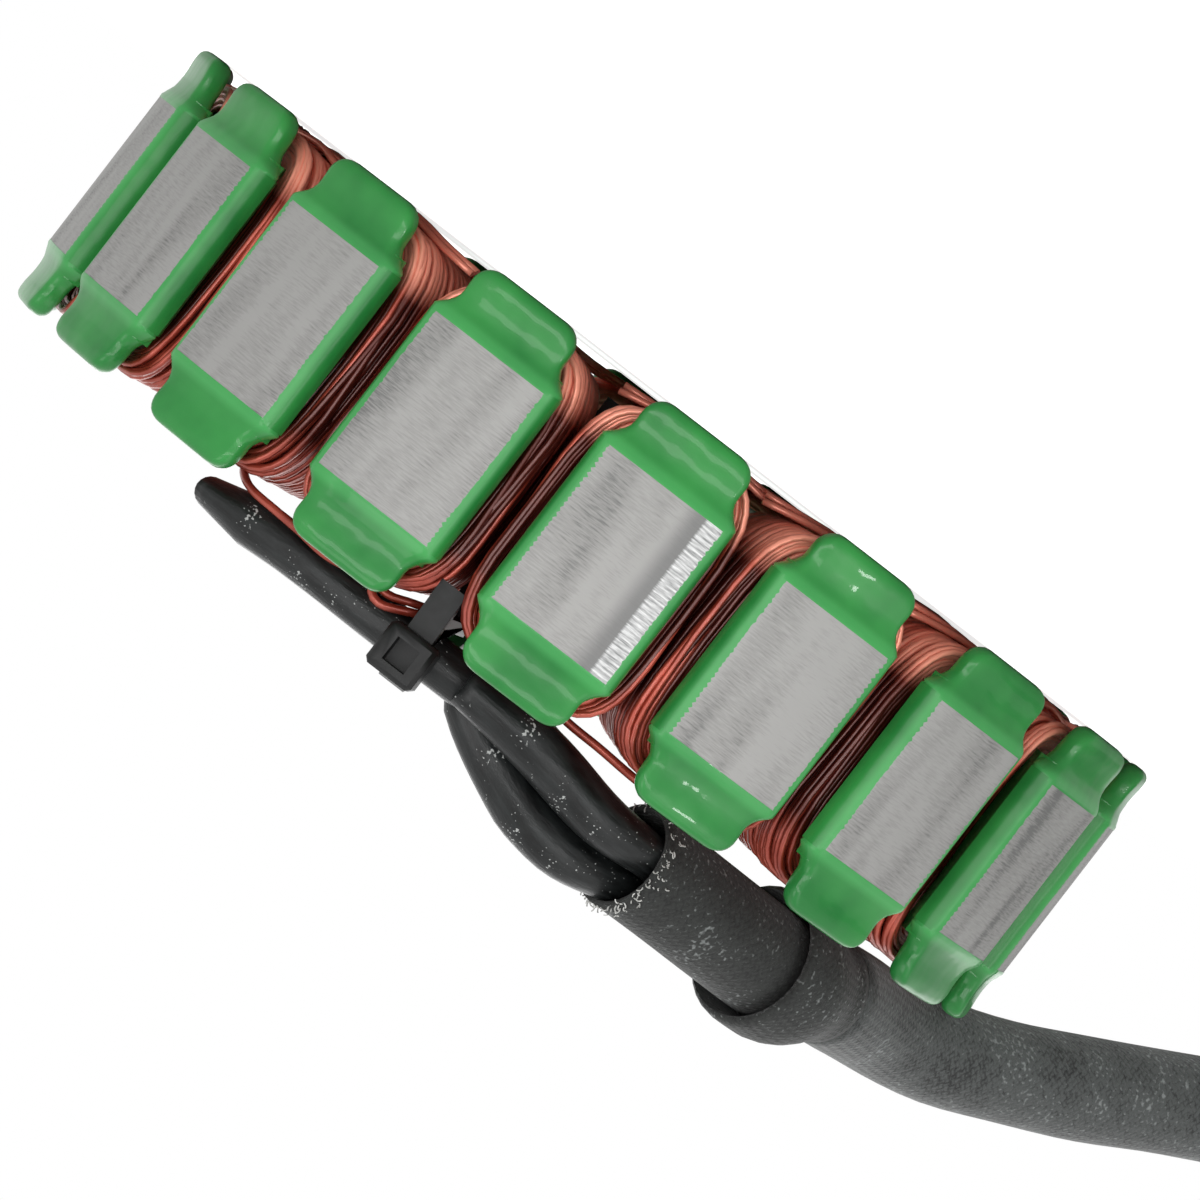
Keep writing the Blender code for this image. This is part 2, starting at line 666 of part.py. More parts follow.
def make_cord(material, collection):
    """The outer cable: its loose stretch, its put-away coil and its tail."""
    start = CORD_ROUTE[0] + (CORD_ROUTE[1] - CORD_ROUTE[0]).normalized() * CORD_GAP
    stretch = smooth_route([start, *CORD_ROUTE[1:]], CORD_DIAMETER / 2)
    tube("harness_cable", stretch, CORD_DIAMETER, material, collection, sides=3)

    inner = CORD_COIL_INNER_TURN - CORD_DIAMETER / 2
    outer = CORD_COIL_INNER_TURN + CORD_COIL_TURNS * CORD_DIAMETER + CORD_DIAMETER / 2
    top = CORD_DIAMETER + FLOOR_GAP
    fillet = CORD_DIAMETER / 4
    profile = [
        (inner + fillet, top), (outer - fillet, top), (outer, top - fillet),
        (outer, FLOOR_GAP + fillet), (outer - fillet, FLOOR_GAP), (inner + fillet, FLOOR_GAP),
        (inner, FLOOR_GAP + fillet), (inner, top - fillet), (inner + fillet, top),
    ]
    coil = turned("harness_coil", profile, material, collection, CORD_COIL_SEGMENTS)
    coil.location = (*CORD_COIL_CENTRE, 0.0)

    place, heading = coil_end()
    forward = polar(1.0, heading)
    clear = math.sqrt((outer + SEAT_GAP) ** 2 - (outer - CORD_DIAMETER) ** 2)
    rise = Vector((0.0, 0.0, (CONNECTOR_HEIGHT - CORD_DIAMETER) / 2))
    tail = [place + forward * clear, place + forward * (CORD_TAIL - CORD_DIAMETER) + rise,
            place + forward * (CORD_TAIL - SEAT_GAP) + rise]
    tube("harness_tail", tail, CORD_DIAMETER, material, collection, sides=3)


def make_connector(rubber, nylon, metal, collection, cutters):
    """End boot, housing with its open front, and the blade terminals in it."""
    place, heading = coil_end()
    base = place + polar(CORD_TAIL, heading, (CONNECTOR_HEIGHT - CORD_DIAMETER) / 2)
    narrow = CORD_DIAMETER / 2
    profile = [(0.0, BOOT_LENGTH), (narrow, BOOT_LENGTH), (narrow + BOOT_WALL, 0.0), (0.0, 0.0)]
    boot = turned("cable_boot", profile, rubber, collection, BOOT_SEGMENTS)
    tilt = Matrix.Rotation(heading, 4, "Z") @ Matrix.Rotation(-math.pi / 2, 4, "Y")
    boot.matrix_world = Matrix.Translation(base + polar(BOOT_LENGTH, heading)) @ tilt

    front = BOOT_LENGTH + SEAT_GAP
    frame = Matrix.Translation(base) @ Matrix.Rotation(heading, 4, "Z")
    size = (CONNECTOR_LENGTH, CONNECTOR_WIDTH, CONNECTOR_HEIGHT)
    housing = block("connector_housing", size, (front + CONNECTOR_LENGTH / 2, 0.0, 0.0),
                    nylon, collection)
    hollow = (2 * CONNECTOR_CAVITY_DEPTH, CONNECTOR_WIDTH - 2 * CONNECTOR_WALL,
              CONNECTOR_HEIGHT - 2 * CONNECTOR_WALL)
    cavity = block("connector_cavity", hollow, (front + CONNECTOR_LENGTH, 0.0, 0.0),
                   nylon, collection)
    mark_cutter(cavity, cutters)
    combine(housing, cavity, "DIFFERENCE", "cavity")
    pieces = [housing, cavity]
    floor = front + CONNECTOR_LENGTH - CONNECTOR_CAVITY_DEPTH + SEAT_GAP
    spacing = hollow[1] / BLADES
    for index in range(BLADES):
        across = (index - (BLADES - 1) / 2) * spacing
        pieces.append(block(f"terminal_{index + 1}", (BLADE_LENGTH, BLADE_WIDTH, BLADE_THICKNESS),
                            (floor + BLADE_LENGTH / 2, across, 0.0), metal, collection))
    for piece in pieces:
        piece.matrix_world = frame


def main():
    clear_scene()
    parts = make_collection("wound_stator")
    cutters = make_collection("cutters")
    steel = make_material("ground_steel", (0.40, 0.39, 0.38), 0.38, 0.9)
    epoxy = make_material("green_epoxy", (0.05, 0.30, 0.08), 0.3)
    copper = make_material("enamelled_copper", (0.28, 0.06, 0.04), 0.3, 0.6)
    zinc = make_material("plated_rivet", (0.45, 0.44, 0.42), 0.4, 0.9)

    varnish = make_material("black_varnished_tube", (0.015, 0.015, 0.016), 0.45)
    cloth = make_material("woven_sleeve", (0.05, 0.05, 0.052), 0.8)
    nylon = make_material("black_nylon", (0.012, 0.012, 0.013), 0.5)
    rubber = make_material("boot_rubber", (0.02, 0.02, 0.02), 0.7)
    tin = make_material("tinned_brass", (0.60, 0.58, 0.52), 0.3, 1.0)

    make_core(steel, parts)
    make_end_plate("end_plate_upper", 1, epoxy, parts, cutters)
    make_end_plate("end_plate_lower", -1, epoxy, parts, cutters)
    make_coils(copper, parts)
    make_rivets(zinc, parts)
    make_links(copper, parts)
    make_sleeves(varnish, parts)
    make_loom(cloth, parts, cutters)
    make_cuff(cloth, parts, cutters)
    make_cable_tie(nylon, parts, cutters)
    make_cord(cloth, parts)
    make_connector(rubber, nylon, tin, parts, cutters)


main()
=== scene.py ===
# %% [markdown]
# # A wound stator, dressed for its picture
# The stator sits in the magneto of a small engine: 18 steel teeth, each with a coil of
# enamelled copper wire, and a woven cable that takes the current away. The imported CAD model
# gives every size and place. This lesson gives each piece its finish and its fine forms.

# %% Load the frame
import math

import bmesh
import bpy
import numpy as np
from mathutils import Matrix, Quaternion, Vector


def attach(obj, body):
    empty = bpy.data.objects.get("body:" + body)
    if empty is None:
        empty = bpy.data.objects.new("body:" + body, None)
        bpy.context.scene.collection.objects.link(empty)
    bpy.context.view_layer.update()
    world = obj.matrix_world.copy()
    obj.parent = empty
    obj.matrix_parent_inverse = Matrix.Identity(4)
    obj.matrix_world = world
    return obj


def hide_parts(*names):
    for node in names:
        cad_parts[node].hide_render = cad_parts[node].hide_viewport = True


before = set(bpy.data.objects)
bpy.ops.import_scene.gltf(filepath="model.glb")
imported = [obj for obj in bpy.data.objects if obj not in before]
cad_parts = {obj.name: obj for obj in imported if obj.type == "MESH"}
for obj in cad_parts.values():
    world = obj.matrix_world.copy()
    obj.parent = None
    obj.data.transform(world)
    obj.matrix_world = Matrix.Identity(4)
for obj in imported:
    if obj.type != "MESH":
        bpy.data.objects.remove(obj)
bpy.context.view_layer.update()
MM = 0.001


def in_mm(point):
    return tuple(round(c / MM, 1) for c in point)


# %% [markdown]
# The sizes below repeat those of the CAD model, in metres. The stator lies flat on its lower
# ears, so z = 0 is the plane of their tips. Pole 1 faces the camera, along -Y.

# %% Sizes of the stator
POLES = 18
PITCH = math.tau / POLES
STATOR_RADIUS = 52.0 * MM
STACK_HEIGHT = 16.0 * MM
EAR_REACH = 5.35 * MM
MID_Z = EAR_REACH + STACK_HEIGHT / 2
BORE_RADIUS = 21.5 * MM
YOKE_RADIUS = 33.0 * MM
TOOTH_WIDTH = 5.5 * MM
NECK_RADIUS = 47.6 * MM
SHOE_INNER_RADIUS = 49.6 * MM
SHOE_HALF_ANGLE = math.radians(7.65)
FACE_HALF_ANGLE = math.radians(6.28)
SHOE_SHOULDER = 1.7 * MM
FIXING_RADIUS = 27.25 * MM
BOLT_HOLES = 3
BOLT_HOLE_RADIUS = 3.3 * MM
RIVETS = 6
RIVET_RADIUS = 1.7 * MM
PLATE_THICKNESS = 1.3 * MM
UP = Vector((0.0, 0.0, 1.0))


def polar(radius, angle, z=0.0):
    return Vector((radius * math.cos(angle), radius * math.sin(angle), z))


def pole_angle(index):
    return -math.pi / 2 - index * PITCH


print("pole pitch at the rim:", round(PITCH * STATOR_RADIUS / MM, 2), "mm")

# %% [markdown]
# A long lens close to the plane of the ring flattens the picture, as product photographers
# like. The camera is turned on its side by the roll, because the stator was photographed
# standing askew. Its lens, place and roll were fitted to the corners of the pole faces.

# %% Camera
CAMERA_PLACE = Vector((38.845, -652.933, 3.848)) * MM
CAMERA_AIM = Vector((-4.694, -0.332, 16.981)) * MM
CAMERA_ROLL = math.radians(-142.39)
SENSOR_MM = 36.0
LENS_MM = 226.43
camera = bpy.data.objects.new("camera", bpy.data.cameras.new("camera"))
bpy.context.scene.collection.objects.link(camera)
camera.data.sensor_width = SENSOR_MM
camera.data.lens = LENS_MM
camera.data.clip_start = 0.01
camera.location = CAMERA_PLACE
camera.rotation_mode = "QUATERNION"
look = (CAMERA_PLACE - CAMERA_AIM).to_track_quat("Z", "Y")
camera.rotation_quaternion = look @ Quaternion((0.0, 0.0, 1.0), CAMERA_ROLL)
bpy.context.scene.camera = camera
print("camera at", round((CAMERA_PLACE - CAMERA_AIM).length, 3), "m")

# %% [markdown]
# A few small helpers serve the whole lesson. One turns a colour as written for the screen into
# the linear numbers that a shader needs. Another adds one node, sets it and joins it to the
# rest, and the last starts a finish with its plain constants.

# %% Colour and node helpers


def linear(code):
    """An sRGB colour such as 3A964B as linear red, green, blue and alpha."""
    parts = [int(code[i:i + 2], 16) / 255 for i in (0, 2, 4)]
    return (*[c / 12.92 if c <= 0.04045 else ((c + 0.055) / 1.055) ** 2.4 for c in parts], 1.0)


def fill(tree, node, values):
    """Each socket takes a constant, an output, or the first output that a node has in use."""
    for socket, value in values.items():
        if isinstance(value, bpy.types.Node):
            value = next(output for output in value.outputs if output.enabled)
        if isinstance(value, bpy.types.NodeSocket):
            tree.links.new(value, node.inputs[socket])
        else:
            node.inputs[socket].default_value = value


def add(tree, kind, values=None, stops=(), **settings):
    """One node with its sockets filled. A kind named in short is a shader node, and stops are
    a colour ramp's places and colours.
    """
    made = tree.nodes.new(kind if "Node" in kind else "ShaderNode" + kind)
    for key, value in settings.items():
        setattr(made, key, value)
    for number, (place, code) in enumerate(stops):
        ramp = made.color_ramp.elements
        stop = ramp[number] if number < 2 else ramp.new(place)
        stop.position, stop.color = place, linear(code)
    fill(tree, made, values or {})
    return made


def finish_named(name, **constants):
    """A new material, its tree and its shader with the constants set on the sockets."""
    material = bpy.data.materials.new(name)
    material.use_nodes = True
    shader = material.node_tree.nodes["Principled BSDF"]
    fill(material.node_tree, shader, {key.replace("_", " "): constants[key] for key in constants})
    return material, material.node_tree, shader


print("steel grey is", [round(c, 3) for c in linear("A9A8A6")[:3]])

# %% [markdown]
# The core is a pack of 0.5 mm steel sheets, dipped in green epoxy and then ground true on its
# pole faces. So one piece shows two finishes, and the border between them is ragged, because
# each sheet keeps its own burr. The shader works out where a point lies on its pole, from
# Object coordinates: its radius, its distance from the middle of the pole, and its height.
# Pole 1 carries a painted highlight along one edge, and a painted shade band before it.

# %% Ground steel and green epoxy
SHEET_PITCH = 0.5 * MM
BURR_DEPTH = 0.34 * MM
STEEL_HALF_WIDTH = FACE_HALF_ANGLE * STATOR_RADIUS
GRINDING_SCALE = (700.0, 6500.0, 1.0)
BAND_SCALE = (330.0, 45.0, 1.0)
THIN_COAT_AND_HIGHLIGHT = 0.4
COAT_FADE = (9.1 * MM, 8.2 * MM)
# Painted shade band and painted highlight edge of pole 1, as distances across its face
PAINTED_SHADE_BAND = (-1.9 * MM, -3.7 * MM)
PAINTED_HIGHLIGHT_EDGE = (-4.2 * MM, -4.45 * MM)


def epoxy_nodes(tree, place, thin_coat_and_painted_light):
    """Colour and bump of the dipped coat: paler beside the ground steel, where it is thin and where
    a highlight is painted.
    """
    cloud = add(tree, "TexNoise", {"Vector": place, "Scale": 130.0, "Detail": 3.0})
    colour = add(tree, "ValToRGB", {"Fac": cloud}, ((0.35, "257837"), (0.68, "369145")))
    swell = add(tree, "TexNoise", {"Vector": place, "Scale": 420.0, "Detail": 1.0})
    bump = add(tree, "Bump", {"Height": swell, "Distance": 0.14 * MM, "Strength": 0.6})
    pale = add(tree, "Mix", {"Factor": thin_coat_and_painted_light, 6: colour, 7: linear("58B86A")}, data_type="RGBA")
    return pale, bump


def heights(tree, place):
    """How far a point lies above the middle of the stack, and how far from it either way."""
    axis = add(tree, "SeparateXYZ", {0: place})
    above = add(tree, "Math", {0: axis.outputs["Z"], 1: MID_Z}, operation="SUBTRACT")
    return above, add(tree, "Math", {0: above}, operation="ABSOLUTE")


def make_epoxy():
    material, tree, shader = finish_named(
        "green_epoxy_dip_coat", Roughness=0.3, Specular_IOR_Level=0.22, Coat_Weight=0.2,
        Coat_Roughness=0.05)
    place = add(tree, "TexCoord").outputs["Object"]
    _, away = heights(tree, place)
    # Paler just above the stack: partly a thinner coat, partly a painted highlight
    thin_coat_and_painted_light = add(tree, "MapRange", {"Value": away, "From Min": COAT_FADE[0],
            "From Max": COAT_FADE[1], "To Max": THIN_COAT_AND_HIGHLIGHT}, interpolation_type="SMOOTHSTEP")
    colour, normal = epoxy_nodes(tree, place, thin_coat_and_painted_light)
    fill(tree, shader, {"Base Color": colour, "Normal": normal, "Coat Normal": normal})
    return material


def make_core_finish():
    material, tree, shader = finish_named("ground_sheet_steel_in_epoxy", Specular_IOR_Level=0.32)
    place = add(tree, "TexCoord").outputs["Object"]
    axis = add(tree, "SeparateXYZ", {0: place})
    angle = add(tree, "Math", {0: axis.outputs["Y"], 1: axis.outputs["X"]}, operation="ARCTAN2")
    turned = add(tree, "Math", {0: angle, 1: math.pi / 2}, operation="ADD")
    local = add(tree, "Math", {0: turned, 1: -PITCH / 2, 2: PITCH / 2}, operation="WRAP")
    away = add(tree, "Math", {0: local}, operation="ABSOLUTE")
    arc = add(tree, "Math", {0: away, 1: STATOR_RADIUS}, operation="MULTIPLY")

    # Sheet edges: a tooth each 0.5 mm up the stack, some longer than others
    sheet = add(tree, "Math", {0: axis.outputs["Z"], 1: SHEET_PITCH}, operation="DIVIDE")
    tooth = add(tree, "Math", {0: sheet, 1: 0.5}, operation="PINGPONG")
    number = add(tree, "Math", {0: sheet}, operation="FLOOR")
    burr = add(tree, "TexWhiteNoise", {"W": number}, noise_dimensions="1D")
    worn = add(tree, "TexNoise", {"Vector": place, "Scale": 90.0, "Detail": 1.0})
    uneven = add(tree, "MapRange", {"Value": worn, "From Min": 0.35, "From Max": 0.65,
            "To Min": -0.55, "To Max": 1.0})
    reach = add(tree, "Math", {0: burr, 1: uneven}, operation="ADD")
    depth = add(tree, "Math", {0: tooth, 1: reach}, operation="MULTIPLY")
    edge = add(tree, "Math", {0: depth, 1: BURR_DEPTH, 2: arc}, operation="MULTIPLY_ADD")
    inside = add(tree, "MapRange", {"Value": edge, "From Min": STEEL_HALF_WIDTH + 0.12 * MM,
            "From Max": STEEL_HALF_WIDTH + 0.06 * MM})
    flat = add(tree, "VectorMath", {0: place, 1: (1.0, 1.0, 0.0)}, operation="MULTIPLY")
    radius = add(tree, "VectorMath", {0: flat}, operation="LENGTH")
    outer = add(tree, "Math", {0: radius, 1: STATOR_RADIUS - 0.4 * MM}, operation="GREATER_THAN")
    steel = add(tree, "Math", {0: inside, 1: outer}, operation="MULTIPLY")

    # Grinding runs round the stator: fine ticks, long round the rim and short up the stack
    around = add(tree, "Math", {0: angle, 1: STATOR_RADIUS}, operation="MULTIPLY")
    ground = add(tree, "CombineXYZ", {"X": around, "Y": axis.outputs["Z"]})
    drawn = add(tree, "VectorMath", {0: ground, 1: GRINDING_SCALE}, operation="MULTIPLY")
    streak = add(tree, "TexNoise", {"Vector": drawn, "Scale": 1.0, "Detail": 3.0,
            "Roughness": 0.55})
    band = add(tree, "VectorMath", {0: ground, 1: BAND_SCALE}, operation="MULTIPLY")
    shade = add(tree, "TexNoise", {"Vector": band, "Scale": 1.0, "Detail": 1.0})
    mixed = add(tree, "Math", {0: streak, 1: 0.75, 2: shade}, operation="MULTIPLY_ADD")
    grey = add(tree, "ValToRGB", {"Fac": mixed},
            ((0.58, "757574"), (1.0, "A3A2A0"), (0.76, "949391")))

    # Painted highlight along one edge of pole 1, with the sheets as fine ribs, and a painted shade
    # band before it
    across = add(tree, "Math", {0: turned, 1: STATOR_RADIUS}, operation="MULTIPLY")
    first = add(tree, "Math", {0: across, 1: -STEEL_HALF_WIDTH - 0.3 * MM},
            operation="GREATER_THAN")
    shadow = add(tree, "Math", {0: first, 1: 0.75}, operation="MULTIPLY")
    painted_shade = add(tree, "MapRange", {"Value": across, "From Min": PAINTED_SHADE_BAND[0],
            "From Max": PAINTED_SHADE_BAND[1], "To Max": shadow}, interpolation_type="SMOOTHSTEP")
    shaded = add(tree, "Mix", {"Factor": painted_shade, 6: grey, 7: linear("727272")}, data_type="RGBA")
    ribbed = add(tree, "Math", {0: streak, 1: -0.35 * MM, 2: across}, operation="MULTIPLY_ADD")
    painted_highlight = add(tree, "MapRange", {"Value": ribbed, "From Min": PAINTED_HIGHLIGHT_EDGE[0],
            "From Max": PAINTED_HIGHLIGHT_EDGE[1], "To Max": first})
    crest = add(tree, "Math", {0: tooth, 1: 0.4, 2: streak}, operation="MULTIPLY_ADD")
    rib_highlight = add(tree, "MapRange", {"Value": crest, "From Min": 0.4, "From Max": 0.8})
    highlight_ribs = add(tree, "Mix", {"Factor": rib_highlight, 6: linear("8B8C8C"), 7: linear("E2E2E2")},
            data_type="RGBA")
    face = add(tree, "Mix", {"Factor": painted_highlight, 6: shaded, 7: highlight_ribs}, data_type="RGBA")
    # Paler coat beside the ground steel: partly a thinner coat, partly a painted highlight
    thin_coat_and_painted_light = add(tree, "MapRange", {"Value": arc, "From Min": STEEL_HALF_WIDTH + 1.0 * MM,
            "From Max": STEEL_HALF_WIDTH + 0.4 * MM, "To Max": THIN_COAT_AND_HIGHLIGHT},
            interpolation_type="SMOOTHSTEP")
    coat, coat_normal = epoxy_nodes(tree, place, thin_coat_and_painted_light)
    colour = add(tree, "Mix", {"Factor": steel, 6: coat, 7: face}, data_type="RGBA")
    rough = add(tree, "MapRange", {"Value": steel, "To Min": 0.3, "To Max": 0.58})
    metal = add(tree, "Math", {0: steel, 1: 0.4}, operation="MULTIPLY")
    relief = add(tree, "Bump", {"Height": crest, "Distance": 0.008 * MM, "Strength": steel,
            "Normal": coat_normal})
    fill(tree, shader, {"Base Color": colour, "Roughness": rough, "Metallic": metal,
                        "Normal": relief})
    return material


epoxy_finish = make_epoxy()
core_finish = make_core_finish()
print("finishes:", epoxy_finish.name, core_finish.name)

# %% [markdown]
# Enamelled copper is metal under a thin red-brown varnish, so it is partly a metal, with a
# clear coat, and its tone wanders a little along each wire. Painted shade darkens it down in
# the slots and browns the upper coil ends, and a painted light makes the lower ends pale. A
# few turns, most of all the loose ones on top, are left out of the painted slot shade: the
# attribute "bare", written with the winding, marks them.

# %% Enamelled copper


def make_copper():
    material, tree, shader = finish_named(
        "enamelled_copper_wire", Metallic=0.35, Roughness=0.34, Coat_Weight=0.2, Coat_Roughness=0.1)
    place = add(tree, "TexCoord").outputs["Object"]
    tone = add(tree, "TexNoise", {"Vector": place, "Scale": 260.0, "Detail": 2.0})
    colour = add(tree, "ValToRGB", {"Fac": tone}, ((0.3, "8E2F1E"), (0.7, "C95B47")))
    above, away = heights(tree, place)
    # Painted shade: darker down in the slots, except on the turns marked bare
    bare = add(tree, "Attribute", attribute_name="bare")
    slot_shade_strength = add(tree, "MapRange", {"Value": bare.outputs["Fac"], "To Min": 0.88, "To Max": 0.1})
    baked = add(tree, "MapRange", {"Value": away, "From Min": 6.5 * MM, "From Max": 10.0 * MM,
            "To Min": slot_shade_strength, "To Max": 0.0})
    painted_shade = add(tree, "Mix", {"Factor": baked, 6: colour, 7: linear("3D0E08")}, data_type="RGBA")
    # Painted light: the lower coil ends paler
    thin_coat_and_painted_light = add(tree, "MapRange", {"Value": above, "From Min": -7.0 * MM, "From Max": -9.2 * MM,
            "To Max": 1.0})
    pale = add(tree, "Mix", {"Factor": thin_coat_and_painted_light, 6: painted_shade, 7: linear("FFA28A")}, data_type="RGBA")
    # Painted shade: the upper coil ends browner
    thick = add(tree, "MapRange", {"Value": above, "From Min": 8.0 * MM, "From Max": 10.5 * MM,
            "To Max": 0.25})
    upper_end_shade = add(tree, "Mix", {"Factor": thick, 6: pale, 7: linear("4A1A10")}, data_type="RGBA")
    fill(tree, shader, {"Base Color": upper_end_shade})
    return material


copper_finish = make_copper()
print("finish:", copper_finish.name)

# %% [markdown]
# The harness is glass-fibre sleeving. The outer ones are braided, and a braid is two sets of
# yarns that cross at an angle and take turns on top. The shader reads the sleeve's UV map,
# which holds real metres along and around it, and turns it by the braid angle. The thin
# sleeves over the leads are the same yarn soaked in black varnish, so only specks show.

# %% Braided and varnished sleeving
YARN_PITCH = 0.6 * MM
BRAID_ANGLE = math.radians(42.0)


def speckled(tree, colour, patches, fine, share, onset, code):
    """The colour with pale specks: fine noise that comes through where the patches are strong."""
    worn = add(tree, "Math", {0: patches, 1: share, 2: fine}, operation="MULTIPLY_ADD")
    bare = add(tree, "MapRange", {"Value": worn, "From Min": onset[0], "From Max": onset[1],
            "To Max": onset[2]})
    return add(tree, "Mix", {"Factor": bare, 6: colour, 7: linear(code)}, data_type="RGBA")


def make_braid(name, low, high, sheen):
    """Two sets of crossing yarns, with painted shade in the gaps and rubbed tops."""
    material, tree, shader = finish_named(name, Roughness=0.8, Sheen_Weight=sheen)
    lie = add(tree, "UVMap", uv_map="metres")
    turned = add(tree, "Mapping", {"Vector": lie, "Rotation": (0.0, 0.0, BRAID_ANGLE),
            "Scale": (1.0, 1.25, 1.0)})
    yarn = add(tree, "VectorMath", {0: turned, 1: (1 / YARN_PITCH, 1 / YARN_PITCH, 1.0)},
            operation="MULTIPLY")
    ways = add(tree, "SeparateXYZ", {0: yarn})
    crowns = [add(tree, "Math", {0: ways.outputs[way], 1: 0.5}, operation="PINGPONG")
            for way in ("X", "Y")]
    order = add(tree, "TexChecker", {"Vector": yarn, "Scale": 1.0})
    height = add(tree, "Mix", {"Factor": order.outputs["Fac"], 2: crowns[0], 3: crowns[1]},
            data_type="FLOAT")
    fuzz = add(tree, "TexNoise", {"Vector": lie, "Scale": 1500.0, "Detail": 3.0, "Roughness": 0.7})
    both = add(tree, "Math", {0: height, 1: 0.5, 2: fuzz}, operation="MULTIPLY_ADD")
    rubbed = add(tree, "TexNoise", {"Vector": lie, "Scale": 170.0, "Detail": 2.0,
            "Roughness": 0.6})
    # Painted shade: the gaps between the yarns darker than their tops; the rubbed patches are wear
    wear_and_gap_shade = add(tree, "Math", {0: rubbed, 1: 0.7, 2: both}, operation="MULTIPLY_ADD")
    colour = add(tree, "ValToRGB", {"Fac": wear_and_gap_shade}, ((0.72, low), (1.0, high)))
    fleck = add(tree, "TexNoise", {"Vector": lie, "Scale": 2300.0, "Detail": 1.0})
    skin = speckled(tree, colour, rubbed, fleck, 0.8, (1.04, 1.2, 0.8), "878B8A")
    bump = add(tree, "Bump", {"Height": both, "Distance": 0.25 * MM, "Strength": 0.6})
    fill(tree, shader, {"Base Color": skin, "Normal": bump})
    return material


def make_varnished_tube():
    material, tree, shader = finish_named("black_varnished_sleeve", Roughness=0.36, IOR=1.4)
    lie = add(tree, "UVMap", uv_map="metres")
    drawn = add(tree, "Mapping", {"Vector": lie, "Scale": (1.0, 0.22, 1.0)})
    grain = add(tree, "TexNoise", {"Vector": drawn, "Scale": 1100.0, "Detail": 4.0,
            "Roughness": 0.65})
    colour = add(tree, "ValToRGB", {"Fac": grain}, ((0.35, "090A0A"), (0.75, "252828")))

    # Bare fibres show as pale specks where the varnish has worn through
    fleck = add(tree, "TexNoise", {"Vector": lie, "Scale": 3200.0, "Detail": 1.0})
    worn = add(tree, "TexNoise", {"Vector": lie, "Scale": 260.0, "Detail": 1.0})
    skin = speckled(tree, colour, worn, fleck, 0.9, (1.2, 1.26, 1.0), "A8AAA8")
    bump = add(tree, "Bump", {"Height": grain, "Distance": 0.16 * MM, "Strength": 0.6})
    fill(tree, shader, {"Base Color": skin, "Normal": bump})
    return material


braid_finish = make_braid("braided_glass_sleeve", "121413", "484B4A", 0.25)
inner_braid_finish = make_braid("inner_braided_sleeve", "0A0B0A", "242624", 0.1)
varnish_finish = make_varnished_tube()
print("finishes:", braid_finish.name, inner_braid_finish.name, varnish_finish.name)

# %% [markdown]
# The last finishes are moulded nylon, rubber, plated rivets, tinned blades and bare glass
# fibre. Each is plain, so it gets only the fine unevenness that its making leaves.

# %% Moulded, plated and bare finishes


def make_plain(name, low, high, scale, **constants):
    """A finish whose tone and height wander by one noise, with the given scale per metre."""
    material, tree, shader = finish_named(name, **constants)
    place = add(tree, "TexCoord").outputs["Object"]
    cloud = add(tree, "TexNoise", {"Vector": place, "Scale": scale, "Detail": 4.0})
    colour = add(tree, "ValToRGB", {"Fac": cloud}, ((0.3, low), (0.7, high)))
    bump = add(tree, "Bump", {"Height": cloud, "Distance": 0.03 * MM, "Strength": 0.5})
    fill(tree, shader, {"Base Color": colour, "Normal": bump})
    return material


nylon_finish = make_plain("moulded_black_nylon", "0D0D0D", "1B1C1C", 700.0, Roughness=0.45,
                          IOR=1.38)
rubber_finish = make_plain("boot_rubber", "1D1D1D", "2B2B2A", 900.0, Roughness=0.7)
rivet_finish = make_plain("zinc_plated_steel", "8F8E88", "B5B3AB", 500.0, Metallic=0.9,
                          Roughness=0.38)
blade_finish = make_plain("tinned_brass", "B7B1A0", "D2CDBF", 600.0, Metallic=1.0, Roughness=0.28)
fibre_finish = make_plain("bare_glass_fibre", "A9A9A5", "DADAD6", 900.0, Roughness=0.6)
print("finishes:", nylon_finish.name, rubber_finish.name, rivet_finish.name, blade_finish.name)

# %% [markdown]
# Every sleeve and the cable are one kind of form: a tube along a smooth line, whose radius
# may swell or taper. One function turns a frame along the line without twisting it, so the
# braid stays straight, and writes a UV map in metres.

# %% Smooth routes and tubes


def smooth_route(points, spacing):
    """Points at an even spacing on a smooth curve through the given ones."""
    ends = [2 * points[0] - points[1], *points, 2 * points[-1] - points[-2]]
    dense = []
    for a, b, c, d in zip(ends, ends[1:], ends[2:], ends[3:]):
        for i in range(24):
            t = i / 24
            dense.append(0.5 * (2 * b + (c - a) * t + (2 * a - 5 * b + 4 * c - d) * t ** 2
                                + (3 * b - a - 3 * c + d) * t ** 3))
    dense.append(points[-1].copy())
    steps = [0.0]
    for p, q in zip(dense, dense[1:]):
        steps.append(steps[-1] + (q - p).length)
    count = max(2, round(steps[-1] / spacing))
    wanted = np.linspace(0.0, steps[-1], count + 1)
    columns = [np.interp(wanted, steps, [p[axis] for p in dense]) for axis in range(3)]
    return [Vector(point) for point in zip(*columns)]


def length_of(points):
    return sum((q - p).length for p, q in zip(points, points[1:]))


def ramp_share(value, low, high):
    """How far a value has come from low to high, from 0 to 1."""
    return min(1.0, max(0.0, (value - low) / (high - low)))


def eased(share):
    """The same share with a soft start and a soft end."""
    return share * share * (3 - 2 * share)


def in_scene(name, data):
    """A new object of the scene, at the origin."""
    made = bpy.data.objects.new(name, data)
    bpy.context.scene.collection.objects.link(made)
    return made


def baked(holder):
    """The holder's shape as a plain mesh, its modifiers applied; the holder itself goes."""
    graph = bpy.context.evaluated_depsgraph_get()
    mesh = bpy.data.meshes.new_from_object(holder.evaluated_get(graph))
    bpy.data.objects.remove(holder, do_unlink=True)
    return mesh


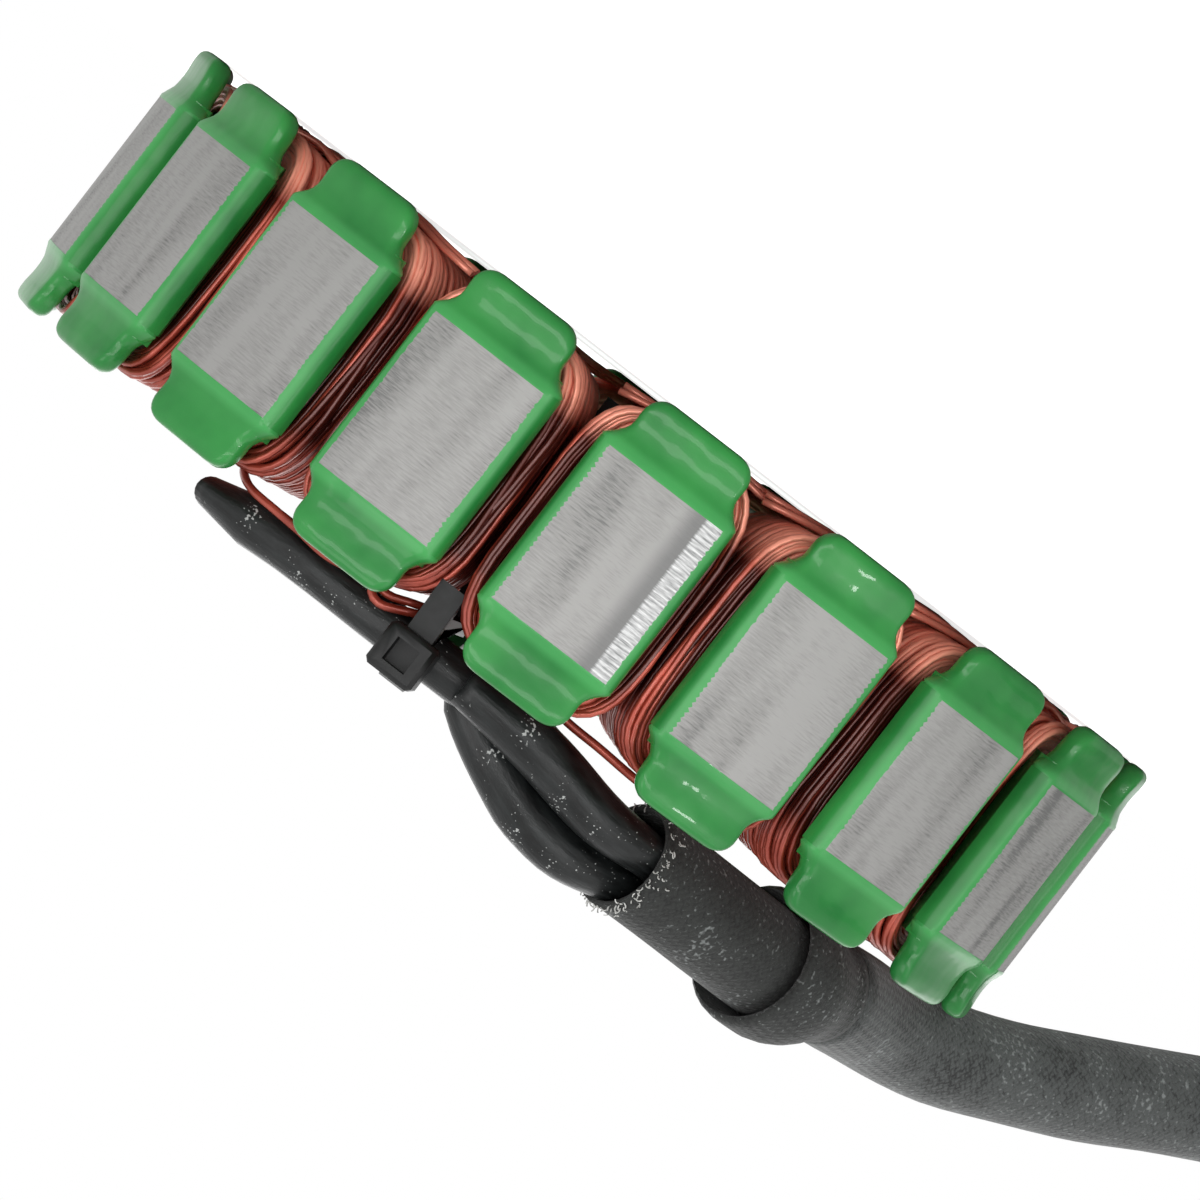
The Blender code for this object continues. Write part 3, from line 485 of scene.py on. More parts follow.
def mesh_of(body, name):
    """The bmesh as a named mesh; the bmesh is freed."""
    mesh = bpy.data.meshes.new(name)
    body.to_mesh(mesh)
    body.free()
    return mesh


def skin_rings(body, rings):
    """Walls between each ring of vertices and the next, and a cap at both ends."""
    walls = []
    for low, high in zip(rings, rings[1:]):
        for step in range(len(low)):
            after = (step + 1) % len(low)
            walls.append(body.faces.new((low[step], low[after], high[after], high[step])))
    body.faces.new(list(reversed(rings[0])))
    body.faces.new(rings[-1])
    return walls


def tube_mesh(name, points, radii, sides, flatten=None):
    """A capped tube. radii is one radius per point; flatten squeezes the frame's second axis."""
    body = bmesh.new()
    layer = body.loops.layers.uv.new("metres")
    heading = (points[1] - points[0]).normalized()
    side = heading.cross(UP).normalized()
    rings, travelled, lengths = [], 0.0, []
    for index, point in enumerate(points):
        before = points[max(index - 1, 0)]
        after = points[min(index + 1, len(points) - 1)]
        turned = (after - before).normalized()
        side = (heading.rotation_difference(turned) @ side).normalized()
        heading = turned
        lift = side.cross(heading).normalized()
        squeeze = flatten[index] if flatten else 1.0
        if index:
            travelled += (point - before).length
        lengths.append(travelled)
        ring = []
        for step in range(sides):
            turn = math.tau * step / sides
            offset = side * math.cos(turn) + lift * (math.sin(turn) * squeeze)
            ring.append(body.verts.new(point + offset * radii[index]))
        rings.append(ring)
    side_width = math.tau * max(radii) / sides
    for number, face in enumerate(skin_rings(body, rings)):
        index, step = divmod(number, sides)
        corners = ((step, index), (step + 1, index), (step + 1, index + 1), (step, index + 1))
        for loop, (turn, place) in zip(face.loops, corners):
            loop[layer].uv = (side_width * turn, lengths[place])
        face.smooth = True
    bmesh.ops.recalc_face_normals(body, faces=body.faces)
    return mesh_of(body, name)


def place_piece(name, mesh, material, slot, *nodes):
    """The finished piece at the origin, riding on the one body, in place of its CAD nodes."""
    if not mesh.materials:
        mesh.materials.append(material)
    piece = in_scene(name, mesh)
    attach(piece, "root")
    if nodes:
        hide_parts(*nodes)
    return piece


def route(points):
    return [Vector(point) * MM for point in points]


print("tube helper ready")

# %% [markdown]
# The cable comes first, because its length is a fact that decides the layout. Such a stator's
# loom is about 0.6 m long to its connector. Part of it is seen to rise over the ears and leave
# the picture, so the rest is put away beyond the picture's edge in a flat coil on the table,
# and its tail carries the connector.

# %% The woven cable
CORD_DIAMETER = 9.4 * MM
CORD_ROUTE = route([
    (-38.4, -16.4, 31.4), (-42.0, -10.6, 31.3), (-46.8, -4.4, 31.2), (-52.6, -0.2, 30.2),
    (-58.6, 3.6, 28.2), (-65.4, 8.2, 25.5), (-73.0, 12.8, 22.0), (-81.0, 17.4, 18.6),
    (-90.0, 22.5, 15.8), (-99.0, 27.6, 14.5),
])
COIL_CENTRE = Vector((-146.4, 5.6, 0.0)) * MM
COIL_START = math.radians(60.5)
COIL_TURNS = 1.3
COIL_FIRST_RADIUS = 42.5 * MM
CORD_TAIL = 43.0 * MM
CORD_STEP = 2.4 * MM
COIL_STEP = math.radians(3.2)
FALL_BEFORE_COIL = 30 * MM
FALL_INTO_COIL = 35 * MM
CONNECTOR_AXIS_Z = 5.55 * MM
LYING_Z = CORD_DIAMETER / 2 + 0.05 * MM


def on_coil(turn, height):
    """A point of the put-away coil, which widens by one cable for each whole turn."""
    radius = COIL_FIRST_RADIUS + CORD_DIAMETER * turn / math.tau
    return polar(radius, COIL_START + turn, height) + COIL_CENTRE


def cord_line():
    """The whole centreline: the loose stretch, down to the coil, round it and out."""
    line = smooth_route(CORD_ROUTE, CORD_STEP)
    last, touch = line[-1], on_coil(0.0, 0.0)
    gap = (touch - last).to_2d().length
    falling = gap + FALL_INTO_COIL
    for step in range(1, int(falling / CORD_STEP) + 1):
        gone = step * CORD_STEP
        drop = eased(ramp_share(gone, gap - FALL_BEFORE_COIL, falling))
        height = last.z + (LYING_Z - last.z) * drop
        if gone <= gap:
            line.append(Vector((*last.to_2d().lerp(touch.to_2d(), gone / gap), height)))
        else:
            line.append(on_coil((gone - gap) / COIL_FIRST_RADIUS, height))
    done, whole = FALL_INTO_COIL / COIL_FIRST_RADIUS, math.tau * COIL_TURNS
    steps = int((whole - done) / COIL_STEP)
    line += [on_coil(done + (whole - done) * step / steps, LYING_Z) for step in range(1, steps + 1)]
    out, leave = polar(1.0, COIL_START + whole + math.pi / 2), line[-1]
    for gone in np.linspace(3 * MM, CORD_TAIL + 0.4 * MM, 16):
        rise = eased(ramp_share(gone, 0.0, CORD_TAIL - CORD_DIAMETER))
        line.append(leave + out * gone + UP * ((CONNECTOR_AXIS_Z - LYING_Z) * rise))
    return line


cord_points = cord_line()
slack = [0.5 * math.sin(0.9 * i) + 0.5 * math.sin(0.37 * i + 1.0) for i in range(len(cord_points))]
cord_radii = [CORD_DIAMETER / 2 * (0.985 + 0.022 * swell) for swell in slack]
cord = place_piece(
    "woven_cable", tube_mesh("woven_cable", cord_points, cord_radii, 28),
    braid_finish, "woven_sleeve", "harness_cable", "harness_coil", "harness_tail")

# %% [markdown]
# The steel pack and its two end plates share one outline: a ring with 18 teeth, each with a
# wide shoe. It is drawn as a flat curve with holes and given a thickness, which is how the
# sheets are stamped. The shoes' outer corners are rounded, as the thick coat rounds them.

# %% Core pack


def circle_points(radius, count, centre=(0.0, 0.0)):
    return [(centre[0] + radius * math.cos(math.tau * i / count),
             centre[1] + radius * math.sin(math.tau * i / count)) for i in range(count)]


def toothed_loop(inset=0.0):
    """Yoke, tooth side, neck and shoe of each pole, point by point round the ring."""
    half_width = TOOTH_WIDTH / 2
    edge = SHOE_HALF_ANGLE - inset / STATOR_RADIUS
    half = [(YOKE_RADIUS, PITCH / 2 - 0.03),
            (YOKE_RADIUS, math.asin(half_width / YOKE_RADIUS) + 0.02),
            (YOKE_RADIUS + 0.8 * MM, math.asin(half_width / YOKE_RADIUS)),
            (NECK_RADIUS - 0.6 * MM, math.asin(half_width / NECK_RADIUS)),
            (NECK_RADIUS + 0.4 * MM, math.asin(half_width / NECK_RADIUS) + 0.02),
            (SHOE_INNER_RADIUS - 0.2 * MM, edge - 0.008), (SHOE_INNER_RADIUS + 0.3 * MM, edge)]
    for step in range(5):
        turn = step * math.pi / 8
        half.append((STATOR_RADIUS - inset - SHOE_SHOULDER * (1 - math.sin(turn)),
                     FACE_HALF_ANGLE + (edge - FACE_HALF_ANGLE) * math.cos(turn)))
    half += [(STATOR_RADIUS - inset, FACE_HALF_ANGLE * k / 6) for k in (5, 4, 3, 2, 1)]
    loop = []
    for index in range(POLES):
        centre = pole_angle(index)
        rising = [polar(radius, centre + turn) for radius, turn in half]
        falling = [polar(radius, centre - turn) for radius, turn in reversed(half)]
        loop += [(p.x, p.y) for p in [*rising, polar(STATOR_RADIUS - inset, centre), *falling]]
    return loop


def hole_loops():
    """The bore, the bolt holes, and the rivet holes between them."""
    loops = [circle_points(BORE_RADIUS, 96)]
    for count, shift, radius, sides in ((BOLT_HOLES, 0.0, BOLT_HOLE_RADIUS, 32),
                                        (RIVETS, 0.5, RIVET_RADIUS, 16)):
        for index in range(count):
            centre = polar(FIXING_RADIUS, math.tau * (index + shift) / count + math.pi / 2)
            loops.append(circle_points(radius, sides, centre.xy))
    return loops


def stamped_mesh(name, loops, low, high):
    """A flat outline with holes, filled between two heights."""
    curve = bpy.data.curves.new(name, "CURVE")
    curve.dimensions = "2D"
    curve.fill_mode = "BOTH"
    curve.extrude = (high - low) / 2
    for loop in loops:
        spline = curve.splines.new("POLY")
        spline.points.add(len(loop) - 1)
        for point, (x, y) in zip(spline.points, loop):
            point.co = (x, y, 0.0, 1.0)
        spline.use_cyclic_u = True
    mesh = baked(in_scene(name, curve))
    mesh.transform(Matrix.Translation((0.0, 0.0, (low + high) / 2)))
    return welded(mesh)


def welded(mesh, angle=32.0):
    """Doubles merged, normals outwards, and smooth shading except over sharp edges."""
    body = bmesh.new()
    body.from_mesh(mesh)
    bmesh.ops.remove_doubles(body, verts=body.verts, dist=0.001 * MM)
    bmesh.ops.recalc_face_normals(body, faces=body.faces)
    body.to_mesh(mesh)
    body.free()
    mesh.shade_smooth()
    mesh.set_sharp_from_angle(angle=math.radians(angle))
    return mesh


core_mesh = stamped_mesh("core_pack", [toothed_loop(), *hole_loops()],
                         MID_Z - STACK_HEIGHT / 2, MID_Z + STACK_HEIGHT / 2)
core = place_piece("core_pack", core_mesh, core_finish, "ground_steel", "core_stack")
print("core:", len(core_mesh.polygons), "faces")

# %% [markdown]
# Repeated pieces are set out by Geometry Nodes. These helpers start a tree with its named
# inputs, end it with real geometry and its finish, and take the mesh that it makes.

# %% Geometry Nodes helpers


def new_tree(name, *inputs):
    """An empty tree with its named inputs: (name, socket kind, default)."""
    tree = bpy.data.node_groups.new(name, "GeometryNodeTree")
    tree.interface.new_socket("Geometry", in_out="INPUT", socket_type="NodeSocketGeometry")
    for label, kind, default in inputs:
        socket = tree.interface.new_socket(label, in_out="INPUT", socket_type=kind)
        if default is not None:
            socket.default_value = default
    tree.interface.new_socket("Geometry", in_out="OUTPUT", socket_type="NodeSocketGeometry")
    return tree, tree.nodes.new("NodeGroupInput").outputs


def wires_on(tree, curves, thickness, sides):
    """The curves with the thickness of a wire or hair."""
    radius = add(tree, "Math", {0: thickness, 1: 0.5}, operation="MULTIPLY")
    section = add(tree, "GeometryNodeCurvePrimitiveCircle", {"Resolution": sides, "Radius": radius})
    return add(tree, "GeometryNodeCurveToMesh", {0: curves, 1: section})


def end_tree(tree, geometry, material):
    """The last nodes of each tree: real geometry and its finish."""
    real = add(tree, "GeometryNodeRealizeInstances", {0: geometry})
    finished = add(tree, "GeometryNodeSetMaterial", {0: real, "Material": material})
    add(tree, "NodeGroupOutput", {0: finished})


def grown(name, mesh, tree, **settings):
    """The mesh that the tree makes of the given one, as plain mesh."""
    seed_piece = in_scene(name, mesh)
    modifier = seed_piece.modifiers.new(name, "NODES")
    modifier.node_group = tree
    for socket in tree.interface.items_tree:
        if socket.in_out == "INPUT" and socket.name in settings:
            modifier[socket.identifier] = settings[socket.name]
    made = baked(seed_piece)
    made.name = name
    return made


def joined(name, *meshes):
    """Several meshes as one; each keeps its own finish."""
    body = bmesh.new()
    result = bpy.data.meshes.new(name)
    for mesh in meshes:
        first = len(body.faces)
        body.from_mesh(mesh)
        body.faces.ensure_lookup_table()
        finish = mesh.materials[0] if mesh.materials else None
        if finish and finish.name not in result.materials:
            result.materials.append(finish)
        slot = result.materials.find(finish.name) if finish else 0
        for face in body.faces[first:]:
            face.material_index = slot
    body.to_mesh(result)
    body.free()
    return result


print("tree helpers ready")

# %% [markdown]
# Each end plate carries 18 ears that keep the coils from slipping off the teeth. An ear is
# lofted from level to level: wide at its foot, then narrower by a hollow shoulder, with a
# rounded end, and it sinks a little behind the ground face as it rises. One ear is modelled,
# and Geometry Nodes set it round the ring.

# %% End plates and their ears
EAR_THICKNESS = 2.1 * MM
EAR_HALF_WIDTH = 5.35 * MM
EAR_CORNER = 1.9 * MM
EAR_EDGE = 0.75 * MM
EAR_HOLLOW = 0.14 * MM
FOOT_HALF_WIDTH = 6.95 * MM
EAR_LEVELS = [-0.3, 0.0, 0.25, 0.5, 0.8, 1.15, 1.55, 2.0, 2.4, 2.9, 3.4, 3.8, 4.2, 4.5, 4.8,
              5.0, 5.15, 5.26, 5.35]


def ear_level(away):
    """Half width, thickness and set-back of the ear at one height above the stack."""
    shoulder = 1 - math.sin(ramp_share(away, 0.3 * MM, 2.4 * MM) * math.pi / 2)
    width = EAR_HALF_WIDTH + (FOOT_HALF_WIDTH - EAR_HALF_WIDTH) * shoulder
    left = max(0.0, EAR_REACH - away)
    if left < EAR_CORNER:
        width -= EAR_CORNER - math.sqrt(max(0.0, EAR_CORNER ** 2 - (EAR_CORNER - left) ** 2))
    if away <= 0.0:
        width -= 0.06 * MM
    thick = EAR_THICKNESS + 0.3 * MM * (1 - ramp_share(away, 0.0, 1.8 * MM))
    if left < EAR_EDGE:
        thick *= 0.25 + 0.75 * math.sqrt(1 - (1 - left / EAR_EDGE) ** 2)
    back = 0.38 * MM * ramp_share(away, 0.0, 1.2 * MM) ** 0.7 - 0.03 * MM
    hollow = math.sin(math.pi * ramp_share(away, 0.5 * MM, 3.9 * MM))
    return width, thick, back + EAR_HOLLOW * hollow


def ear_ring(width, thick, away):
    """One level of the ear as (along, depth): at its foot it has the shoulder of the shoe."""
    risen = ramp_share(away, 0.0, 2.2 * MM)
    shoe = FOOT_HALF_WIDTH - STEEL_HALF_WIDTH
    wide = shoe + (0.7 * MM - shoe) * risen
    deep = min(0.78 * thick, SHOE_SHOULDER + (0.75 * MM - SHOE_SHOULDER) * risen)
    inner = min((0.65 + 0.25 * risen) * MM, thick - deep)

    def corner(middle, reach, level, depth, start, steps):
        """A quarter of an ellipse, from the start turn on."""
        turns = [math.pi * (start + step / 10) for step in steps]
        return [(middle + reach * math.cos(a), level + depth * math.sin(a)) for a in turns]

    outer_flat, inner_flat = width - wide, width - inner
    front, rear = thick / 2 - deep, inner - thick / 2
    return ([(outer_flat * step / 6, thick / 2) for step in range(6, -6, -1)]
            + corner(-outer_flat, wide, front, deep, 0.5, range(6))
            + corner(-inner_flat, inner, rear, inner, 1.0, range(1, 6))
            + [(inner_flat * step / 6, -thick / 2) for step in range(-5, 6)]
            + corner(inner_flat, inner, rear, inner, 1.5, range(6))
            + corner(outer_flat, wide, front, deep, 2.0, range(1, 5)))


def ear_mesh():
    """One ear on the first pole, from the lap over its face up to its rounded end."""
    body, rings = bmesh.new(), []
    for level in EAR_LEVELS:
        away = min(level * MM, EAR_REACH)
        width, thick, back = ear_level(away)
        centre = STATOR_RADIUS - back - max(thick, EAR_THICKNESS) / 2
        rings.append([body.verts.new(polar(centre + depth, along / STATOR_RADIUS - math.pi / 2,
                                           MID_Z + STACK_HEIGHT / 2 + away))
                      for along, depth in ear_ring(width, thick, away)])
    skin_rings(body, rings)
    return welded(mesh_of(body, "ear"), 50.0)


def make_ring_tree():
    """Copies the given piece round the Z axis, Count times."""
    tree, given = new_tree("ring_of_copies", ("Count", "NodeSocketInt", POLES),
                           ("Finish", "NodeSocketMaterial", None))
    places = add(tree, "GeometryNodePoints", {"Count": given["Count"]})
    number = add(tree, "GeometryNodeInputIndex")
    step = add(tree, "Math", {0: math.tau, 1: given["Count"]}, operation="DIVIDE")
    turn = add(tree, "Math", {0: number, 1: step}, operation="MULTIPLY")
    euler = add(tree, "CombineXYZ", {"Z": turn})
    rotation = add(tree, "FunctionNodeEulerToRotation", {0: euler})
    one = add(tree, "GeometryNodeGeometryToInstance", {0: given["Geometry"]})
    ring = add(tree, "GeometryNodeInstanceOnPoints", {"Points": places, "Instance": one,
            "Rotation": rotation})
    end_tree(tree, ring, given["Finish"])
    return tree


ring_tree = make_ring_tree()
one_ear = ear_mesh()
ears_mesh = grown("ears", one_ear, ring_tree, Count=POLES, Finish=epoxy_finish)
plate_mesh = stamped_mesh("plate", [toothed_loop(0.9 * MM), *hole_loops()],
                          MID_Z + STACK_HEIGHT / 2, MID_Z + STACK_HEIGHT / 2 + PLATE_THICKNESS)
upper_mesh = joined("end_plate_top", plate_mesh, ears_mesh)
lower_mesh = upper_mesh.copy()
lower_mesh.transform(Matrix.Translation(UP * 2 * MID_Z) @ Matrix.Scale(-1.0, 4, UP))
lower_mesh.flip_normals()
for name, mesh, node in (("end_plate_top", upper_mesh, "end_plate_upper"),
                         ("end_plate_bottom", lower_mesh, "end_plate_lower")):
    mesh.materials.clear()
    place_piece(name, mesh, epoxy_finish, "green_epoxy", node)
print("ear:", len(one_ear.polygons), "faces; plate with ears:", len(upper_mesh.polygons))

# %% [markdown]
# A coil is some hundred turns of 0.6 mm wire, wound by machine, so the turns cross and climb a
# little. Each turn that shows is one rounded loop round the tooth: a layer on the tooth, the
# layers seen on the coil's outer side, and a few loose turns over them. Size, lean and the
# "bare" mark, which leaves a turn out of the painted slot shade, are attributes of a point, and
# a Geometry Nodes tree puts a loop on each point, makes it wander, and gives it the wire's
# thickness. A filler stands for the turns underneath.

# %% Coils
WIRE = 0.6 * MM
COIL_INNER_RADIUS = 34.6 * MM
COIL_OUTER_RADIUS = 46.6 * MM
COIL_HALF_HEIGHT = STACK_HEIGHT / 2 + 1.6 * MM
COIL_SIDE_GAP = 0.35 * MM
OUTER_LAYERS = 22
TOP_LAYERS = 11
LOOSE_TURNS = 6
LOOSE_LEAN = 4.5
FORWARD_LEAN = 1.6
TWIST = 2.2
WINDING_INNER = TOOTH_WIDTH / 2 + 0.3 * MM


def turn_size(place, share):
    """Half width, 1 and half height of a turn: share is 0 on the tooth and 1 outermost."""
    room = place * math.tan(PITCH / 2) - COIL_SIDE_GAP - WINDING_INNER
    along = (place - COIL_INNER_RADIUS) / (COIL_OUTER_RADIUS - COIL_INNER_RADIUS)
    end = (1.9 + 0.8 * along) * MM
    return (WINDING_INNER + share * room - WIRE / 2, 1.0,
            COIL_HALF_HEIGHT + share * end - WIRE / 2)


def turn_points(seed):
    """The showing turns of one coil as points with their attributes."""
    chance = np.random.default_rng(seed)
    turns = []
    for place in np.arange(COIL_INNER_RADIUS + WIRE / 2, COIL_OUTER_RADIUS - WIRE / 3, WIRE * 0.98):
        turns.append((place, 1.0 - 0.05 * chance.random(), 0.9))
    for layer in range(OUTER_LAYERS):
        turns.append((COIL_OUTER_RADIUS - WIRE * (0.5 + 0.8 * (layer % 2)),
                      0.05 + 0.93 * layer / (OUTER_LAYERS - 1), 1.6))
    for layer in range(TOP_LAYERS):
        turns.append((COIL_OUTER_RADIUS + (0.3 + 0.1 * layer) * MM, 0.05 + 0.085 * layer, 1.8))
    for extra in range(LOOSE_TURNS):
        turns.append((COIL_OUTER_RADIUS + (0.5 + 0.22 * extra) * MM, 0.8 + 0.2 * chance.random(),
                      LOOSE_LEAN))
    sizes = [c for place, share, _ in turns for c in turn_size(place, share)]
    leans = [math.radians(most) * (chance.random() - 0.5) * 2
             for _, _, wild in turns for most in (FORWARD_LEAN, wild, TWIST)]
    # Turns marked bare are left out of the painted slot shade of the copper finish
    bare = [float(chance.random() < (0.5 if wild == LOOSE_LEAN else 0.08)) for _, _, wild in turns]
    mesh = bpy.data.meshes.new("turns")
    mesh.vertices.add(len(turns))
    mesh.vertices.foreach_set("co", [c for place, _, _ in turns for c in (0.0, -place, MID_Z)])
    for name, kind, field, values in (
            ("size", "FLOAT_VECTOR", "vector", sizes),
            ("lean", "FLOAT_VECTOR", "vector", leans), ("bare", "FLOAT", "value", bare)):
        mesh.attributes.new(name, kind, "POINT").data.foreach_set(field, values)
    return mesh


def make_winding_tree():
    tree, given = new_tree("winding", ("Wire diameter", "NodeSocketFloat", WIRE),
                           ("Wander", "NodeSocketFloat", 0.3 * MM),
                           ("Seed", "NodeSocketFloat", 0.0),
                           ("Roundness", "NodeSocketFloat", 0.5),
                           ("Finish", "NodeSocketMaterial", None))
    circle = add(tree, "GeometryNodeCurvePrimitiveCircle", {"Resolution": 34, "Radius": 1.0})
    place = add(tree, "GeometryNodeInputPosition")
    axes = add(tree, "SeparateXYZ", {0: place})
    corners = []
    for axis in ("X", "Y"):
        size = add(tree, "Math", {0: axes.outputs[axis]}, operation="ABSOLUTE")
        power = add(tree, "Math", {0: size, 1: given["Roundness"]}, operation="POWER")
        sign = add(tree, "Math", {0: axes.outputs[axis]}, operation="SIGN")
        corners.append(add(tree, "Math", {0: power, 1: sign}, operation="MULTIPLY"))
    upright = add(tree, "CombineXYZ", {"X": corners[0], "Z": corners[1]})
    loop = add(tree, "GeometryNodeSetPosition", {0: circle, "Position": upright})
    size = add(tree, "GeometryNodeInputNamedAttribute", {"Name": "size"}, data_type="FLOAT_VECTOR")
    lean = add(tree, "GeometryNodeInputNamedAttribute", {"Name": "lean"}, data_type="FLOAT_VECTOR")
    rotation = add(tree, "FunctionNodeEulerToRotation", {0: lean})
    turns = add(tree, "GeometryNodeInstanceOnPoints", {"Points": given["Geometry"],
            "Instance": loop, "Rotation": rotation, "Scale": size})
    real = add(tree, "GeometryNodeRealizeInstances", {0: turns})
    shift = add(tree, "CombineXYZ", {"X": given["Seed"], "Y": given["Seed"]})
    where = add(tree, "VectorMath", {0: place, 1: shift}, operation="ADD")
    noise = add(tree, "TexNoise", {"Vector": where, "Scale": 190.0, "Detail": 1.0})
    centred = add(tree, "VectorMath", {0: noise.outputs["Color"], 1: (0.5, 0.5, 0.5)},
            operation="SUBTRACT")
    moved = add(tree, "VectorMath", {0: centred, "Scale": given["Wander"]}, operation="SCALE")
    wandering = add(tree, "GeometryNodeSetPosition", {0: real, "Offset": moved})
    wires = wires_on(tree, wandering, given["Wire diameter"], 6)
    smooth = add(tree, "GeometryNodeSetShadeSmooth", {0: wires})
    end_tree(tree, smooth, given["Finish"])
    return tree


def filler_mesh():
    """The buried turns: a plain ring of the winding's section, a wire's width inside it."""
    body, rings = bmesh.new(), []
    near, far = COIL_INNER_RADIUS + 0.6 * MM, COIL_OUTER_RADIUS - 1.2 * MM
    for place, share in ((far, 0.0), (near, 0.0), (near, 0.86), (far, 0.86)):
        wide, _, high = turn_size(place, share)
        ring = []
        for step in range(32):
            turn = math.tau * step / 32
            x = math.copysign(abs(math.cos(turn)) ** 0.5, math.cos(turn)) * wide
            z = math.copysign(abs(math.sin(turn)) ** 0.5, math.sin(turn)) * high
            ring.append(body.verts.new((x, -place, MID_Z + z)))
        rings.append([body.edges.new((ring[i - 1], ring[i])) for i in range(32)])
    for index, ring in enumerate(rings):
        bmesh.ops.bridge_loops(body, edges=ring + rings[(index + 1) % 4])
    return welded(mesh_of(body, "filler"))


winding_tree = make_winding_tree()
filler = filler_mesh()
winding_faces = 0
for index in range(POLES):
    wires = grown("winding", turn_points(100 + index), winding_tree, **{
        "Wire diameter": WIRE, "Wander": 0.35 * MM, "Seed": 0.37 * index, "Roundness": 0.5,
        "Finish": copper_finish})
    coil_mesh = joined(f"winding_{index + 1:02d}", wires, filler)
    coil_mesh.transform(Matrix.Rotation(-index * PITCH, 4, "Z"))
    place_piece(f"winding_{index + 1:02d}", coil_mesh, copper_finish, "enamelled_copper",
                f"coil_{index + 1:02d}")
    winding_faces += len(coil_mesh.polygons)
print("windings:", winding_faces, "faces in all")

# %% [markdown]
# On the side away from the cable, wires cross from coil to coil. They are laid by hand, so
# they weave up and down behind the ears.

# %% Crossover wires
LINK_RADII = (40.4, 42.2, 44.0)
LINK_SWEEP = math.radians(300.0)
KNOTS = 60


def wire_along(name, points, diameter):
    return tube_mesh(name, points, [diameter / 2] * len(points), sides=8)


def crossover_points(index, strand):
    """Low over the coil ends, and slack where it bridges from one coil to the next."""
    chance = np.random.default_rng(500 + 10 * index + strand)
    knots = []
    for step in range(KNOTS + 1):
        turn = pole_angle(index) + PITCH / 2 - LINK_SWEEP * step / KNOTS
        bridging = 0.5 + 0.5 * math.cos(POLES * (turn - pole_angle(0) - PITCH / 2))
        height = 0.42 + 0.3 * chance.random() + (0.5 + 0.5 * strand) * bridging
        radius = LINK_RADII[index] + 0.8 * strand + 0.9 * (chance.random() - 0.5)
        knots.append(polar(radius * MM, turn, height * MM))
    return smooth_route(knots, 1.6 * MM)


for index in range(3):
    name = f"crossover_wire_{index + 1}"
    strands = [wire_along(name, crossover_points(index, strand), WIRE) for strand in (0, 1)]
    place_piece(name, joined(name, *strands), copper_finish, "enamelled_copper",
                f"phase_link_{index + 1}")
print("crossover wires: 3 pairs")

# %% [markdown]
# On the cable's side a few single wires leave the coils for the sleeves. Two run under the
# strap into the neutral tube, one follows that tube from the next coil, and one crosses
# behind the leads.

# %% Tap wires
TAP_WIRE = 0.75 * MM
TAPS = {
    "tap_wire_1": [(13.7, -42.6, 25.3), (13.3, -43.3, 26.8), (12.2, -43.7, 27.2),
                   (11.0, -43.9, 26.8), (9.7, -43.9, 26.2), (8.0, -43.2, 25.6)],
    "tap_wire_2": [(14.1, -42.2, 24.6), (13.4, -43.0, 25.9), (12.0, -43.4, 26.2),
                   (10.2, -43.5, 25.6), (8.2, -42.8, 25.0)],
    "tap_wire_4": [(27.6, -30.6, 24.8), (27.1, -34.2, 25.8), (25.8, -36.9, 26.4),
                   (23.2, -39.2, 26.5), (20.9, -40.5, 26.6), (18.0, -41.9, 26.8),
                   (15.4, -42.6, 26.4)],
    "tap_wire_3": [(-3.0, -43.6, 25.2), (-6.0, -43.2, 25.6), (-9.2, -43.0, 25.7),
                   (-12.4, -42.8, 25.9), (-15.2, -41.6, 26.0)],
}
for name, knots in TAPS.items():
    place_piece(name, wire_along(name, smooth_route(route(knots), 0.6 * MM), TAP_WIRE),
                copper_finish, "enamelled_copper")
print("tap wires:", len(TAPS))

# %% [markdown]
# The black sleeves over the star joint and over the three phase leads are soft: the tube over
# the joint is pressed flat towards its end, and the leads swell between the tie and the loom.

# %% Lead and neutral sleeves
NEUTRAL_ROUTE = route([
    (28.2, -32.8, 28.8), (22.8, -36.6, 28.4), (17.4, -39.4, 28.2), (12.0, -41.4, 28.2),
    (7.4, -42.4, 28.2), (3.6, -42.6, 28.2), (0.4, -42.2, 28.2),
])
LEADS_ROUTE = route([
    (2.4, -41.0, 28.1), (-1.0, -41.3, 28.3), (-4.5, -41.2, 28.7), (-8.0, -40.6, 29.4),
    (-12.2, -39.5, 30.25), (-16.6, -36.9, 30.4),
])
LEAD_DIAMETER = 3.8 * MM
LEAD_GAP = 0.35 * MM
LEAD_SWELL = 0.25
NEUTRAL_RADIUS = 2.2 * MM


def lead_swell(along):
    """The soft sleeves are fattest half way between the tie and the loom."""
    return 1.0 + LEAD_SWELL * math.sin(math.pi * min(1.0, along))


def lead_routes():
    """Three leads: two side by side, and one that rises on top of them."""
    axis = smooth_route(LEADS_ROUTE, 1.2 * MM)
    middle, front, back = [], [], []
    for index, point in enumerate(axis):
        along = index / (len(axis) - 1)
        reach = LEAD_DIAMETER * lead_swell(along) + LEAD_GAP
        before, after = axis[max(index - 1, 0)], axis[min(index + 1, len(axis) - 1)]
        side = (after - before).cross(UP).normalized()
        spread = reach * (1.0 - 0.5 * min(1.0, 2.0 * along))
        middle.append(point + UP * math.sqrt(reach ** 2 - spread ** 2))
        front.append(point - side * spread)
        back.append(point + side * spread)
    return middle, front, back


